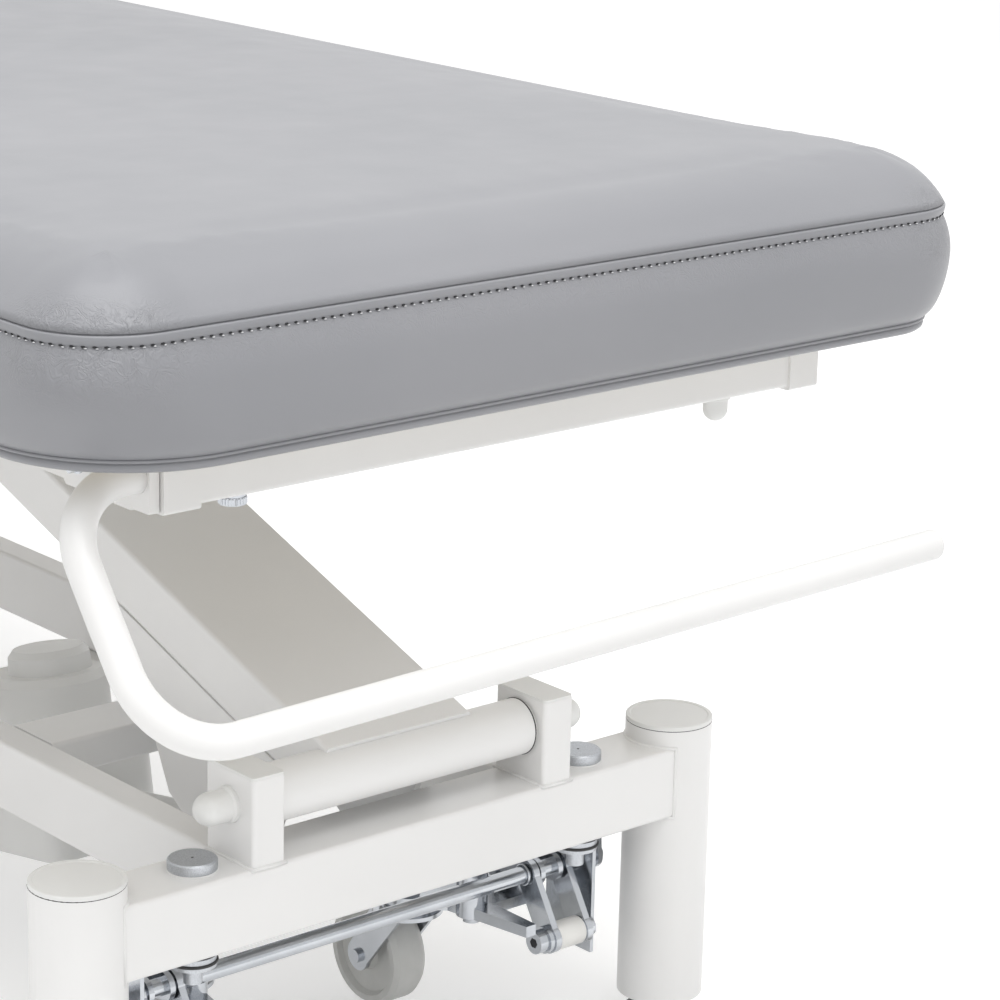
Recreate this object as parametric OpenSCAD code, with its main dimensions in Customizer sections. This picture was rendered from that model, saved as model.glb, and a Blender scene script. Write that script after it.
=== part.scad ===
// Height-adjustable examination couch: steel base, parallel lift arms, pad frame, backrest and castors.
// Millimetres. +Z up, +Y from the foot end to the head end, the couch stands on z = 0.

/* [Base] */
// Distance between the front and rear column axes
base_l = 1560; // [1400:10:1700]
// Distance between the left and right column axes
column_gap = 486; // [440:2:560]
// Outside diameter of a column
column_d = 60; // [50:1:70]
// Height of a column's rim above the floor
column_top = 227; // [222:1:245]
// Side of the square cross beams
beam_s = 50; // [40:1:60]
// Height of the beams' top face above the floor
beam_top = 215; // [205:1:220]
// Width of the long beams and of the pivot posts
slim_w = 25; // [20:1:30]
// Outside width across the two long beams
beams_w = 262; // [240:2:290]
// Wall of the square and round tubes
wall = 3; // [2:0.5:4]
// Outer edge radius of the square tubes
edge_r = 3; // [2:0.5:5]

/* [Lift arms] */
// Distance between an arm's two pivot axes
arm_l = 720; // [640:10:760]
// Rise of the arms at rest, in degrees
arm_rest = 19; // [16:1:24]
// Width of an arm's box section
arm_w = 118; // [100:2:130]
// Depth of an arm's box section
arm_d = 42; // [36:1:46]
// Height of the pivot axes above the beams
pivot_h = 36.5; // [34:0.5:42]
// Outside diameter of the pivot tubes
pivot_tube_d = 38; // [34:1:42]
// Diameter of the pivot axles
axle_d = 16; // [12:1:18]
// Height of the pivot posts above the beams
post_h = 60; // [56:1:70]
// Distance from the front columns to the rear arm's pivot
rear_pivot_off = 879.2; // [840:0.1:900]

/* [Top frame and pads] */
// Overall length of the lying surface
pad_l = 1900; // [1700:10:2000]
// Width of the pads
pad_w = 700; // [620:10:800]
// Thickness of the pads, board included
pad_t = 112; // [90:1:130]
// Corner radius of the pads in plan
pad_r = 60; // [40:1:80]
// Length of the backrest pad
back_l = 693; // [600:1:760]
// Gap between the two pads
pad_gap = 6; // [4:1:10]
// Distance from the pad's foot end to the front column axis
pad_over = 170; // [140:1:200]
// Height of the top frame's rails
rail_h = 40; // [36:1:44]
// Width of the top frame's rails
rail_w = 30; // [26:1:34]
// Length of the foot end rail without its sleeves
end_rail_l = 470; // [440:2:500]
// Distance from the front columns forward to the end rail's front face
end_rail_off = 112; // [105:1:125]
// Thickness of the pads' boards
board_t = 12; // [9:1:15]
// Corner radius of the pads' boards in plan
board_r = 100; // [60:5:130]

/* [Paper roll holder] */
// Diameter of the bent tube
holder_d = 20; // [16:1:22]
// How far the tube's outer side stands beyond the pad's foot end
holder_reach = 35; // [25:1:45]
// Drop from the socket to the bar
holder_drop = 126; // [100:1:150]
// Length of the bar along the foot end
holder_bar = 602; // [520:2:620]
// Rise of the bar towards its free end, in degrees
holder_rise = 1.2; // [0:0.1:3]

/* [Castors] */
// Diameter of a castor wheel
wheel_d = 75; // [65:1:78]
// Width of a castor wheel
wheel_w = 28; // [22:1:32]
// Height of a raised wheel above the floor
wheel_lift = 8; // [5:1:10]
// Distance of a disc-headed bolt from the centre plane
disc_x = 159; // [150:1:162]
// Diameter of a guide pin
guide_d = 12; // [10:1:14]
// Diameter of the pedal shafts
shaft_d = 12; // [10:1:14]

/* [Fits] */
// Radial clearance of a running fit
running = 0.05; // [0.03:0.01:0.08]
// Gap between faces that move past each other
side_gap = 0.2; // [0.2:0.05:0.5]

/* [Hidden] */
$fn = 48;
eps = 0.01;
through = 400;

// Plan positions
pad_front = -pad_l / 2 + holder_reach / 2;
pad_back = pad_l / 2 + holder_reach / 2;
front_y = pad_front + pad_over;
rear_y = front_y + base_l;
split_y = pad_back - back_l - pad_gap / 2;
column_x = column_gap / 2;
slim_x = beams_w / 2 - slim_w / 2;
beam_mid = beam_top - beam_s / 2;
beam_low = beam_top - beam_s;

// Lift geometry: both arms stay parallel
pivot_z = beam_top + pivot_h;
post_in = slim_x - slim_w / 2;
post_out = slim_x + slim_w / 2;
post_cap_t = 2;
rear_pivot_y = front_y + rear_pivot_off;
head_dy = arm_l * cos(arm_rest);
head_z = pivot_z + arm_l * sin(arm_rest);
arm_top = arm_d / 2 + 1;
arm_low = arm_top - arm_d;
arm_plate = 5;
bush_r = 12;
bush_l = 25;
bush_flange = 2;
tube_half = post_in - side_gap - bush_flange;
head_half = 90;
bracket_in = head_half + bush_flange + side_gap;
bracket_t = 6;
head_cross_off = 24;

// Actuator: lever point on the front arm, foot point on the base
lever_u = 52;
lever_w = -116;
lever_r = 18;
lever_y = front_y + lever_u * cos(arm_rest) - lever_w * sin(arm_rest);
lever_z = pivot_z + lever_u * sin(arm_rest) + lever_w * cos(arm_rest);
foot_y = front_y + 472;
foot_z = 90;
actuator_l = sqrt(pow(foot_y - lever_y, 2) + pow(lever_z - foot_z, 2));
actuator_tilt = atan2(lever_z - foot_z, foot_y - lever_y);
rod_r = 10;
spindle_r = 17;
motor_r = 42;
motor_off = 85;
motor_top = 115;
member_off = 263;
member_h = 25;

// Top frame heights: the rails' undersides are level with the head pivots
rail_low = head_z + 0.8;
rail_top = rail_low + rail_h;
pad_low = rail_top + 0.3;
pad_top = pad_low + pad_t;
rail_x = 205;
end_rail_y = front_y - end_rail_off + rail_w / 2;
end_rail_w = rail_w - 2;
sleeve_l = 25;
sleeve_lip = 4;
sleeve_wall = 1.5;
hinge_z = pad_top - 15;
strap_t = 5;
strap_w = 20;
strap_x = pad_w / 2 - 12;
hinge_pin_r = 5;
stem_r = 8;
side_plate_x = -end_rail_l / 2 - 21;
side_plate_t = 4;
side_plate_l = 100;
side_bolts = [37, 70];
side_bolt_z = 10.5;
nut_x = -198.5;
rail_cap_x = 180;
nut_r = 8.1;

// Gas spring under the backrest
gas_x = 165;
gas_foot_y = split_y + 68;
gas_foot_z = rail_low - 56;
gas_head_y = split_y + 388;
gas_head_z = rail_low + 18;
gas_l = sqrt(pow(gas_head_y - gas_foot_y, 2) + pow(gas_head_z - gas_foot_z, 2));
gas_tilt = atan2(gas_head_z - gas_foot_z, gas_head_y - gas_foot_y);
gas_r = 10;
gas_rod_r = 4;
gas_body_l = 250;
gas_pin_r = 5;

// Castor lift
disc_stack = 13;
disc_bolt_low = 140;
shaft_off = column_d / 2 + shaft_d / 2 + 1;
shaft_z = 123;
shaft_half = 214;
guide_off = 60;
guide_low = 88;
carrier_t = 8;
carrier_low = 93;
sleeve_r = guide_d / 2 + 5;
sleeve_top = 140;
swivel_x = 98;
swivel_off = 105;
swivel_r = 17;
trail = 32;
stop_x = 163.5;
stop_gap = 14.5;
stop_t = 5;
stop_dy = -24.5;
stop_dz = -40;
stop_r = 10.5;
stop_bolt_r = 4;
roller_x = stop_x - 0.5;
roller_gap = 8;
roller_l = 11;
roller_off = shaft_off + 40;
roller_r = 11;
roller_z = carrier_low + carrier_t + roller_r + 0.3;
plate_l = 47.5;
plate_back = 60;
plate_low = 62;
plate_t = 3;
bracket_x = 187;
link_x = 201;
link_arm = beam_low - shaft_z - 12;
link_r = 4;
axle_z = wheel_lift + wheel_d / 2;
fork_top = carrier_low - 3.7;
fork_t = 3;
fork_in = wheel_w / 2 + 2;

// Paper roll holder route: socket, bend, leg, bend, bar
socket_x = -end_rail_l / 2 - sleeve_l + sleeve_lip;
plug_t = 6.5;
plug_w = end_rail_w + 2 * sleeve_wall - 7;
plug_x = socket_x - 0.7 - plug_t;
holder_r1 = 46;
holder_r2 = 50;
hair = 0.02;
holder_a = [plug_x, end_rail_y, rail_low + 15];
holder_b = [plug_x - 54, end_rail_y, rail_low + 15];
holder_c = [holder_b[0], pad_front - holder_reach + holder_d / 2, holder_b[2] - holder_drop];
holder_e = holder_c + [holder_bar, 0, holder_bar * tan(holder_rise)];

white = [0.92, 0.92, 0.91];
zinc = [0.62, 0.64, 0.66];
plastic = [0.86, 0.86, 0.85];
vinyl = [0.60, 0.60, 0.63];
dark = [0.15, 0.15, 0.16];
wood = [0.70, 0.61, 0.47];

function unit(v) = v / norm(v);

// ---- Shared shapes ----

module section(w, h, r) {
  square([w - 2 * r, h], center = true);
  square([w, h - 2 * r], center = true);
  for (sx = [-1, 1], sy = [-1, 1])
    translate([sx * (w / 2 - r), sy * (h / 2 - r)]) circle(r);
}

module tube_section(w, h, t = wall) {
  difference() {
    section(w, h, edge_r);
    square([w - 2 * t, h - 2 * t], center = true);
  }
}

module tube_x(l, w, h) {
  rotate([90, 0, 90]) linear_extrude(l, center = true) tube_section(w, h);
}

module tube_y(l, w, h) {
  rotate([90, 0, 0]) linear_extrude(l, center = true) tube_section(w, h);
}

module rod_x(l, r) {
  rotate([0, 90, 0]) cylinder(h = l, r = r, center = true);
}

// A plate whose outline lies in Y and Z, from x to x + t
module plate_x(x, t) {
  translate([x, 0, 0]) rotate([90, 0, 90]) linear_extrude(t) children();
}

module both_sides() {
  children();
  mirror([1, 0, 0]) children();
}

module both_ends() {
  mid = (front_y + rear_y) / 2;
  children();
  translate([0, mid, 0]) mirror([0, 1, 0]) translate([0, -mid, 0]) children();
}

// ---- Base ----

module cross_beam(y) {
  color(white) difference() {
    translate([0, y, beam_mid]) tube_x(column_gap, beam_s, beam_s);
    for (sx = [-1, 1]) {
      translate([sx * column_x, y, 0]) cylinder(h = column_top, r = column_d / 2);
      translate([sx * disc_x, y, beam_low - 1]) cylinder(h = beam_s + 2, r = guide_d / 2 + 0.1);
    }
  }
}

module front_cross_beam() { cross_beam(front_y); }

module rear_cross_beam() { cross_beam(rear_y); }

module long_beams() {
  l = base_l - beam_s;
  color(white) both_sides()
    translate([slim_x, (front_y + rear_y) / 2, beam_mid]) tube_y(l, slim_w, beam_s);
}

module cross_members() {
  color(white) for (y = [front_y + member_off, rear_pivot_y + beam_s])
    translate([0, y, beam_top - member_h / 2]) tube_x(2 * (slim_x - slim_w / 2), beam_s, member_h);
}

module columns() {
  color(white) both_ends() both_sides() translate([column_x, front_y, 0]) difference() {
    translate([0, 0, 25]) cylinder(h = column_top - 25, r = column_d / 2, $fn = 96);
    translate([0, 0, 33]) cylinder(h = column_top, r = column_d / 2 - wall);
    translate([0, 0, 20]) cylinder(h = 20, r = 6);
  }
}

// A flat plastic cap with a shallow dish, on a plug inside the column
module column_caps() {
  r = column_d / 2;
  color(plastic) both_ends() both_sides() translate([column_x, front_y, column_top])
    rotate_extrude($fn = 96) polygon([
      [0, -12], [r - wall - 0.1, -12], [r - wall - 0.1, 0], [r - 0.4, 0], [r - 0.4, 0.5], [r, 0.5],
      [r, 3], [r - 0.5, 3.5], [r - 2.6, 3.5], [r - 3.4, 2.9], [0, 2.9]
    ]);
}

module floor_feet() {
  color(dark) both_ends() both_sides() translate([column_x, front_y, 0])
    rotate_extrude() polygon([
      [0, 0], [25, 0], [26, 2], [26, 8], [20, 14], [10, 16], [10, 22], [5.9, 22], [5.9, 45], [0, 45]
    ]);
}

module pivot_posts() {
  h = post_h - post_cap_t;
  color(white) for (y = [front_y, rear_pivot_y]) both_sides() difference() {
    translate([slim_x, y, beam_top]) linear_extrude(h) tube_section(slim_w, beam_s);
    translate([slim_x, y, pivot_z]) rod_x(slim_w + 2, axle_d / 2 + running);
  }
}

module post_caps() {
  color(plastic) for (y = [front_y, rear_pivot_y]) both_sides()
    translate([slim_x, y, beam_top + post_h - post_cap_t]) {
      linear_extrude(post_cap_t) section(slim_w - 0.4, beam_s - 0.4, edge_r);
      translate([0, 0, -8]) linear_extrude(8 + eps)
        square([slim_w - 2 * wall - 0.2, beam_s - 2 * wall - 0.2], center = true);
    }
}

module pivot_axles() {
  color(zinc) for (y = [front_y, rear_pivot_y])
    translate([0, y, pivot_z]) rod_x(2 * post_out + 18, axle_d / 2);
}

// Domed white nuts on the ends of the pivot axles
module axle_cap_nuts() {
  color(plastic) for (y = [front_y, rear_pivot_y]) both_sides()
    translate([post_out, y, pivot_z]) rotate([0, 90, 0]) difference() {
      rotate_extrude() union() {
        polygon([[0, 0], [12, 0], [12, 2.5], [10.6, 4], [10.6, 15], [0, 15]]);
        intersection() {
          translate([0, 15]) circle(10.6, $fn = 64);
          square([20, 40]);
        }
      }
      translate([0, 0, -1]) cylinder(h = 10.2, r = axle_d / 2 + running);
    }
}

// Disc-headed bolts through the cross beams, and the pins that guide the castor carriers
module guide_pins() {
  color(zinc) both_ends() both_sides() {
    translate([disc_x, front_y, 0]) {
      translate([0, 0, disc_bolt_low]) cylinder(h = beam_top - disc_bolt_low + 1, r = guide_d / 2);
      translate([0, 0, beam_top]) cylinder(h = 0.8, r = 13);
      translate([0, 0, beam_top + 0.8]) rotate_extrude($fn = 64)
        polygon([[0, 0], [15.2, 0], [15.8, 0.6], [15.8, 6.2], [14.8, 7.2], [0, 7.2]]);
      translate([0, 0, beam_low - disc_stack]) cylinder(h = disc_stack, r = 15);
    }
    translate([slim_x, front_y + guide_off, 0]) {
      translate([0, 0, guide_low]) cylinder(h = beam_low - guide_low, r = guide_d / 2);
      translate([0, 0, beam_low - 3]) cylinder(h = 3, r = sleeve_r);
    }
  }
}

// Plates under the cross beams that carry the pedal shafts
module shaft_brackets() {
  color(zinc) both_ends() both_sides() difference() {
    translate([0, front_y, 0]) plate_x(bracket_x, plate_t)
      translate([plate_back - plate_l, plate_low]) square([plate_l, beam_low - plate_low]);
    translate([0, front_y + shaft_off, shaft_z]) rod_x(through * 2, shaft_d / 2 + running);
  }
}

// Two ears under a bridge plate between the long beams, with the actuator's rear pin
module actuator_bracket() {
  color(white) {
    translate([0, foot_y + 18, beam_low - 3]) cube([beams_w, 60, 6], center = true);
    both_sides() translate([0, foot_y, 0]) plate_x(14, 6) difference() {
      union() {
        translate([0, foot_z]) circle(16);
        polygon([[-13, foot_z], [16, foot_z], [40, beam_low - 6], [-12, beam_low - 6]]);
      }
      translate([0, foot_z]) circle(6);
    }
  }
  color(zinc) translate([0, foot_y, foot_z]) rod_x(52, 6);
}

// ---- Lift arms ----

module arm_frame(y) {
  translate([0, y, pivot_z]) rotate([arm_rest, 0, 0]) children();
}

module arm_box(y) {
  color(white) arm_frame(y) difference() {
    translate([0, arm_l / 2, (arm_top + arm_low) / 2]) tube_y(arm_l - 4, arm_w, arm_d);
    for (u = [0, arm_l]) translate([0, u, 0]) rod_x(arm_w + 2, pivot_tube_d / 2);
  }
}

module arm_tube(y, u, half) {
  color(white) arm_frame(y) translate([0, u, 0]) difference() {
    rod_x(2 * half, pivot_tube_d / 2, $fn = 96);
    rod_x(2 * half + 2, bush_r);
  }
}

module arm_bushes(y) {
  color(plastic) arm_frame(y) both_sides() for (end = [[0, tube_half], [arm_l, head_half]])
    translate([end[1], end[0], 0]) rotate([0, 90, 0]) difference() {
      union() {
        translate([0, 0, -bush_l]) cylinder(h = bush_l, r = bush_r);
        cylinder(h = bush_flange, r = pivot_tube_d / 2 - 0.6);
      }
      translate([0, 0, -bush_l - 1]) cylinder(h = bush_l + 5, r = axle_d / 2 + running);
    }
}

module front_arm_box() { arm_box(front_y); }

module rear_arm_box() { arm_box(rear_pivot_y); }

module front_pivot_tube() { arm_tube(front_y, 0, tube_half); }

module rear_pivot_tube() { arm_tube(rear_pivot_y, 0, tube_half); }

module front_head_tube() { arm_tube(front_y, arm_l, head_half); }

module rear_head_tube() { arm_tube(rear_pivot_y, arm_l, head_half); }

module front_arm_bushes() { arm_bushes(front_y); }

module rear_arm_bushes() { arm_bushes(rear_pivot_y); }

// Side plates that run down from the front arm to the actuator
module front_arm_gussets() {
  color(white) arm_frame(front_y) both_sides() plate_x(arm_w / 2 - arm_plate, arm_plate)
    difference() {
      union() {
        polygon([
          [24, arm_low], [232, arm_low], [140, arm_low - 92], [lever_u, lever_w - lever_r],
          [lever_u - lever_r, lever_w]
        ]);
        translate([lever_u, lever_w]) circle(lever_r);
      }
      translate([lever_u, lever_w]) circle(6);
    }
}

// The actuator's front pin: a short bolt in each side plate
module lever_bolts() {
  color(zinc) arm_frame(front_y) both_sides() translate([0, lever_u, lever_w]) {
    translate([arm_w / 2 - arm_plate / 2, 0, 0]) rod_x(arm_plate, 6);
    translate([arm_w / 2 + 3, 0, 0]) rotate([0, 90, 0]) cylinder(h = 6, r = 11, $fn = 6, center = true);
  }
}

// ---- Top frame ----

module side_rails() {
  y0 = end_rail_y + end_rail_w / 2;
  y1 = rear_pivot_y + head_dy + head_cross_off + rail_w;
  color(white) both_sides()
    translate([rail_x, (y0 + y1) / 2, rail_low + rail_h / 2]) tube_y(y1 - y0, rail_w, rail_h);
}

module end_rail() {
  color(white) difference() {
    translate([0, end_rail_y, rail_low + rail_h / 2]) tube_x(end_rail_l, end_rail_w, rail_h);
    translate([nut_x, end_rail_y, rail_low - 1]) cylinder(h = 6, r = 4.2);
    translate([rail_cap_x, end_rail_y, rail_low - 1]) cylinder(h = 6, r = 3.2);
  }
}

// Sleeves over the end rail's ends; the left one's lip has the socket bore of the roll holder
module rail_sleeves() {
  w = end_rail_w;
  color(white) difference() {
    both_sides() translate([-socket_x, end_rail_y, rail_low + rail_h / 2]) difference() {
      translate([-sleeve_l / 2, 0, -1]) rotate([90, 0, 90])
        linear_extrude(sleeve_l, center = true) section(w + 2 * sleeve_wall, rail_h + 2, 2);
      translate([-sleeve_l + (sleeve_l - sleeve_lip) / 2 - eps, 0, 0]) rotate([90, 0, 90])
        linear_extrude(sleeve_l - sleeve_lip, center = true) section(w, rail_h, edge_r);
    }
    translate([socket_x, end_rail_y, holder_a[2]]) rod_x(3 * sleeve_l, stem_r + 0.2);
  }
}

module cross_rails() {
  inner = 2 * rail_x - rail_w;
  z = rail_low + rail_h / 2;
  color(white) {
    for (y = [front_y + head_dy, rear_pivot_y + head_dy])
      translate([0, y + head_cross_off + rail_w / 2, z]) tube_x(inner, rail_w, rail_h);
    translate([0, front_y + 330, z]) tube_x(inner, rail_w, rail_h);
    // Outriggers to the hinge straps, and lugs for the gas spring
    both_sides() translate([(rail_x + rail_w / 2 + strap_x) / 2, split_y - 20, rail_low + 22.5])
      tube_x(strap_x - rail_x - rail_w / 2, 25, 25);
    translate([(gas_x + 12 + rail_x - rail_w / 2) / 2, gas_foot_y, 0]) gas_lug();
  }
}

// A plate welded to the right side rail's inner face, with the gas spring's lower stub pin
module gas_lug() {
  x0 = rail_x - rail_w / 2 - (gas_x + 12 + rail_x - rail_w / 2) / 2;
  translate([x0 - 6, 0, 0]) plate_x(0, 6) union() {
    translate([0, gas_foot_z]) circle(13);
    polygon([[-13, gas_foot_z], [13, gas_foot_z], [25, rail_low + 30], [-25, rail_low + 30]]);
  }
  translate([x0 - 6 - 9, 0, gas_foot_z]) rod_x(18, gas_pin_r);
}

// Cheek plates that carry the head axles, welded to the cross rails
module arm_brackets() {
  color(white) for (y = [front_y + head_dy, rear_pivot_y + head_dy]) both_sides()
    translate([0, y, 0]) plate_x(bracket_in, bracket_t) difference() {
      union() {
        translate([0, head_z]) circle(22);
        polygon([[-21, head_z], [0, head_z - 22], [head_cross_off, head_z - 12], [head_cross_off, rail_top],
          [-10, rail_top]]);
      }
      translate([0, head_z]) circle(axle_d / 2 + running);
    }
}

module head_axles() {
  color(zinc) for (y = [front_y + head_dy, rear_pivot_y + head_dy]) translate([0, y, head_z]) {
    rod_x(2 * (bracket_in + bracket_t) + 6, axle_d / 2);
    both_sides() translate([bracket_in + bracket_t, 0, 0]) rotate([0, 90, 0]) difference() {
      cylinder(h = 9, r = 13, $fn = 6);
      translate([0, 0, -1]) cylinder(h = 4, r = axle_d / 2);
    }
  }
}

// Clamp screw with a black ring under the socket, and the two screws of the side bracket
module frame_bolts() {
  // Clamp nut under the end rail, below its collar and ring
  translate([nut_x, end_rail_y, rail_low]) {
    color(zinc) rotate_extrude()
      polygon([[0, 6.8], [4, 6.8], [4, 0], [nut_r + 0.5, 0], [nut_r + 0.5, -1.5], [0, -1.5]]);
    color(dark) translate([0, 0, -3]) cylinder(h = 1.5, r = nut_r - 0.7);
    color(zinc) translate([0, 0, -7.6]) cylinder(h = 4.6, r = nut_r, $fn = 12);
  }
  // Washer, nut and thread end of each bolt through the side plate
  for (dy = side_bolts) translate([side_plate_x, end_rail_y + dy, rail_low + side_bolt_z]) color(zinc) {
    translate([-0.75, 0, 0]) rod_x(1.5, 7);
    translate([-4, 0, 0]) rotate([0, 90, 0]) cylinder(h = 5, r = 6.2, $fn = 6, center = true);
    translate([-8, 0, 0]) rod_x(3, 3.5);
  }
}

module rail_cap() {
  color(plastic) translate([rail_cap_x, end_rail_y, rail_low]) rotate([180, 0, 0]) rotate_extrude() union() {
    polygon([[0, -8], [3, -8], [3, 0], [9.5, 0], [9.5, 2], [8, 3], [8, 9], [0, 9]]);
    intersection() {
      translate([0, 9]) circle(8, $fn = 48);
      square([20, 40]);
    }
  }
}

// White angle that ties the seat board to the end rail beside the socket
module side_bracket() {
  inner = side_plate_x + side_plate_t;
  y = end_rail_y + rail_w / 2 + 2;
  color(white) {
    plate_x(side_plate_x, side_plate_t)
      polygon([[y, rail_low - 6], [y + 66, rail_low - 5.5], [y + 68, rail_low - 2.5],
        [y + side_plate_l, rail_low - 2.5], [y + side_plate_l, rail_top], [y, rail_top]]);
    translate([inner, y, rail_top - 3]) cube([-rail_x - rail_w / 2 - inner, side_plate_l, 3]);
  }
}

module board(y0, y1) {
  translate([0, (y0 + y1) / 2, pad_low]) linear_extrude(board_t) section(pad_w - 30, y1 - y0 - 30, board_r);
}

module pad(y0, y1) {
  l = y1 - y0;
  translate([0, (y0 + y1) / 2, 0]) {
    translate([0, 0, pad_low]) linear_extrude(board_t) difference() {
      section(pad_w - 8, l - 8, pad_r - 4);
      section(pad_w - 30, l - 30, board_r);
    }
    translate([0, 0, pad_low + board_t]) linear_extrude(pad_t - board_t - 25) section(pad_w, l, pad_r);
    translate([0, 0, pad_top - 25]) linear_extrude(15) section(pad_w - 24, l - 24, pad_r - 12);
    translate([0, 0, pad_top - 10]) linear_extrude(10) section(pad_w - 90, l - 90, 30);
  }
}

module seat_board() { color(wood) board(pad_front, split_y - pad_gap / 2); }

module seat_pad() { color(vinyl) pad(pad_front, split_y - pad_gap / 2); }

module backrest_board() { color(wood) board(split_y + pad_gap / 2, pad_back); }

module backrest_pad() { color(vinyl) pad(split_y + pad_gap / 2, pad_back); }

// Upright straps beside the pads' round corners, with the backrest's hinge pins
module seat_hinge_straps() {
  color(zinc) both_sides() {
    plate_x(strap_x, strap_t) {
      translate([split_y, hinge_z]) circle(strap_w / 2);
      translate([split_y - strap_w / 2, rail_low + 30]) square([strap_w, hinge_z - rail_low - 30]);
      translate([split_y - 32.5, rail_low + 10]) square([32.5 + strap_w / 2, 30]);
    }
    translate([strap_x - strap_t - 2 - 3, split_y, hinge_z]) rotate([0, 90, 0])
      cylinder(h = strap_t + 5, r = hinge_pin_r);
    translate([strap_x + strap_t, split_y, hinge_z]) rotate([0, 90, 0]) cylinder(h = 3, r = 9);
  }
}

module backrest_hinge_straps() {
  x = strap_x - strap_t - 2;
  flange_x = rail_x + rail_w / 2 + 20;
  color(zinc) both_sides() {
    plate_x(x, strap_t) difference() {
      union() {
        translate([split_y, hinge_z]) circle(strap_w / 2);
        translate([split_y - strap_w / 2, pad_low - 4]) square([strap_w, hinge_z - pad_low + 4]);
      }
      translate([split_y, hinge_z]) circle(hinge_pin_r + running);
    }
    translate([flange_x, split_y - strap_w / 2, pad_low - 4]) cube([x - flange_x, 80, 4]);
  }
}

module control_box() {
  color(plastic) translate([-60, front_y + 330 - rail_w / 2 - 75, rail_low + 5]) difference() {
    linear_extrude(rail_h - 6) section(200, 150 - eps, 8);
    translate([101, 20, 14]) rotate([0, 90, 0]) cylinder(h = 14, r = 7, center = true);
  }
}

module backrest_frame() {
  y0 = split_y + 12;
  y1 = split_y + 450;
  z = pad_low - 13;
  color(white) {
    both_sides() translate([125, (y0 + y1) / 2, z]) tube_y(y1 - y0, 25, 25);
    // Flat cross bars between the tubes
    for (y = [y0 + 30, y1 - 60]) translate([0, y, z + 10]) cube([225, 30, 5], center = true);
    // Open channel for the gas spring's head, beside the right-hand tube
    for (x = [gas_x - 18, gas_x + 13]) translate([0, gas_head_y, 0]) plate_x(x, 4)
      translate([-38, pad_low - 56]) square([66, 55.5]);
    translate([gas_x - 27.5, gas_head_y - 38, pad_low - 3.5]) cube([44.5, 66, 3]);
  }
}

// ---- Gas spring ----

module gas_frame() {
  translate([gas_x, gas_foot_y, gas_foot_z]) rotate([gas_tilt, 0, 0]) children();
}

module gas_spring_cylinder() {
  color(dark) gas_frame() {
    difference() {
      union() {
        rod_x(10, 10);
        translate([0, 9, 0]) rotate([-90, 0, 0]) cylinder(h = 12, r = 5);
      }
      rod_x(12, gas_pin_r + running);
    }
    translate([0, 20, 0]) rotate([-90, 0, 0]) difference() {
      cylinder(h = gas_body_l, r = gas_r);
      translate([0, 0, 12]) cylinder(h = gas_body_l, r = gas_rod_r + running);
    }
  }
}

module gas_spring_rod() {
  color(zinc) gas_frame() {
    translate([0, 34, 0]) rotate([-90, 0, 0]) cylinder(h = gas_l - 42, r = gas_rod_r);
    translate([0, gas_l, 0]) {
      rod_x(22, 5);
      rod_x(10, 9);
    }
  }
}

// ---- Actuator ----

module actuator_frame() {
  translate([0, foot_y, foot_z]) rotate([-actuator_tilt, 0, 0]) mirror([0, 1, 0]) children();
}

module actuator_housing() {
  color(plastic) actuator_frame() difference() {
    union() {
      rod_x(26, 15);
      translate([-13, 0, -15]) cube([26, 30, 30]);
      translate([0, motor_off, -32]) linear_extrude(64) section(96, 112, 14);
      translate([0, motor_off, 32 - eps]) rotate_extrude($fn = 96) polygon([
        [0, 0], [motor_r, 0], [motor_r, motor_top - 56], [motor_r - 4, motor_top - 50],
        [motor_r - 11, motor_top - 49], [motor_r - 12, motor_top - 37], [motor_r - 16, motor_top - 32],
        [0, motor_top - 30]
      ]);
      translate([0, motor_off + 50, 0]) rotate([-90, 0, 0]) cylinder(h = 150, r = spindle_r);
    }
    rod_x(40, 6 + running);
    translate([0, motor_off + 90, 0]) rotate([-90, 0, 0]) cylinder(h = 200, r = rod_r + running);
  }
}

module actuator_rod() {
  color(zinc) actuator_frame() {
    translate([0, motor_off + 130, 0]) rotate([-90, 0, 0])
      cylinder(h = actuator_l - motor_off - 138, r = rod_r);
    translate([0, actuator_l, 0]) {
      rod_x(98, 9);
      rod_x(24, 14);
    }
  }
}

// ---- Paper roll holder ----

module holder_plug() {
  color(white) {
    translate([plug_x + plug_t / 2, end_rail_y, rail_low + rail_h / 2 - 1]) rotate([90, 0, 90])
      linear_extrude(plug_t, center = true) section(plug_w, rail_h, 1.5);
    translate([(plug_x + plug_t + socket_x) / 2 + 35, end_rail_y, holder_a[2]])
      rod_x(socket_x - plug_x - plug_t + 70, stem_r);
  }
}

// A straight stretch of round tube between two points; a hair's gap parts it from the bends
module run(p, q) {
  d = q - p;
  translate(p + unit(d) * hair) rotate([0, acos(d[2] / norm(d)), atan2(d[1], d[0])])
    cylinder(h = norm(d) - 2 * hair, r = holder_d / 2);
}

// A round bend at corner b, for a tube that comes from a and goes to c
module bend(a, b, c, r) {
  u = unit(a - b);
  v = unit(c - b);
  turn = 180 - acos(u * v);
  reach = r * tan(turn / 2);
  n = unit(cross(-u, v));
  centre = b + unit(u + v) * (r / cos(turn / 2));
  x = unit(b + u * reach - centre);
  y = cross(n, x);
  multmatrix([
    [x[0], y[0], n[0], centre[0]],
    [x[1], y[1], n[1], centre[1]],
    [x[2], y[2], n[2], centre[2]],
    [0, 0, 0, 1]
  ]) rotate_extrude(angle = turn, $fn = 96) translate([r, 0]) circle(holder_d / 2, $fn = 48);
}

function bend_end(a, b, c, r) = b + unit(a - b) * r * tan((180 - acos(unit(a - b) * unit(c - b))) / 2);

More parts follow.
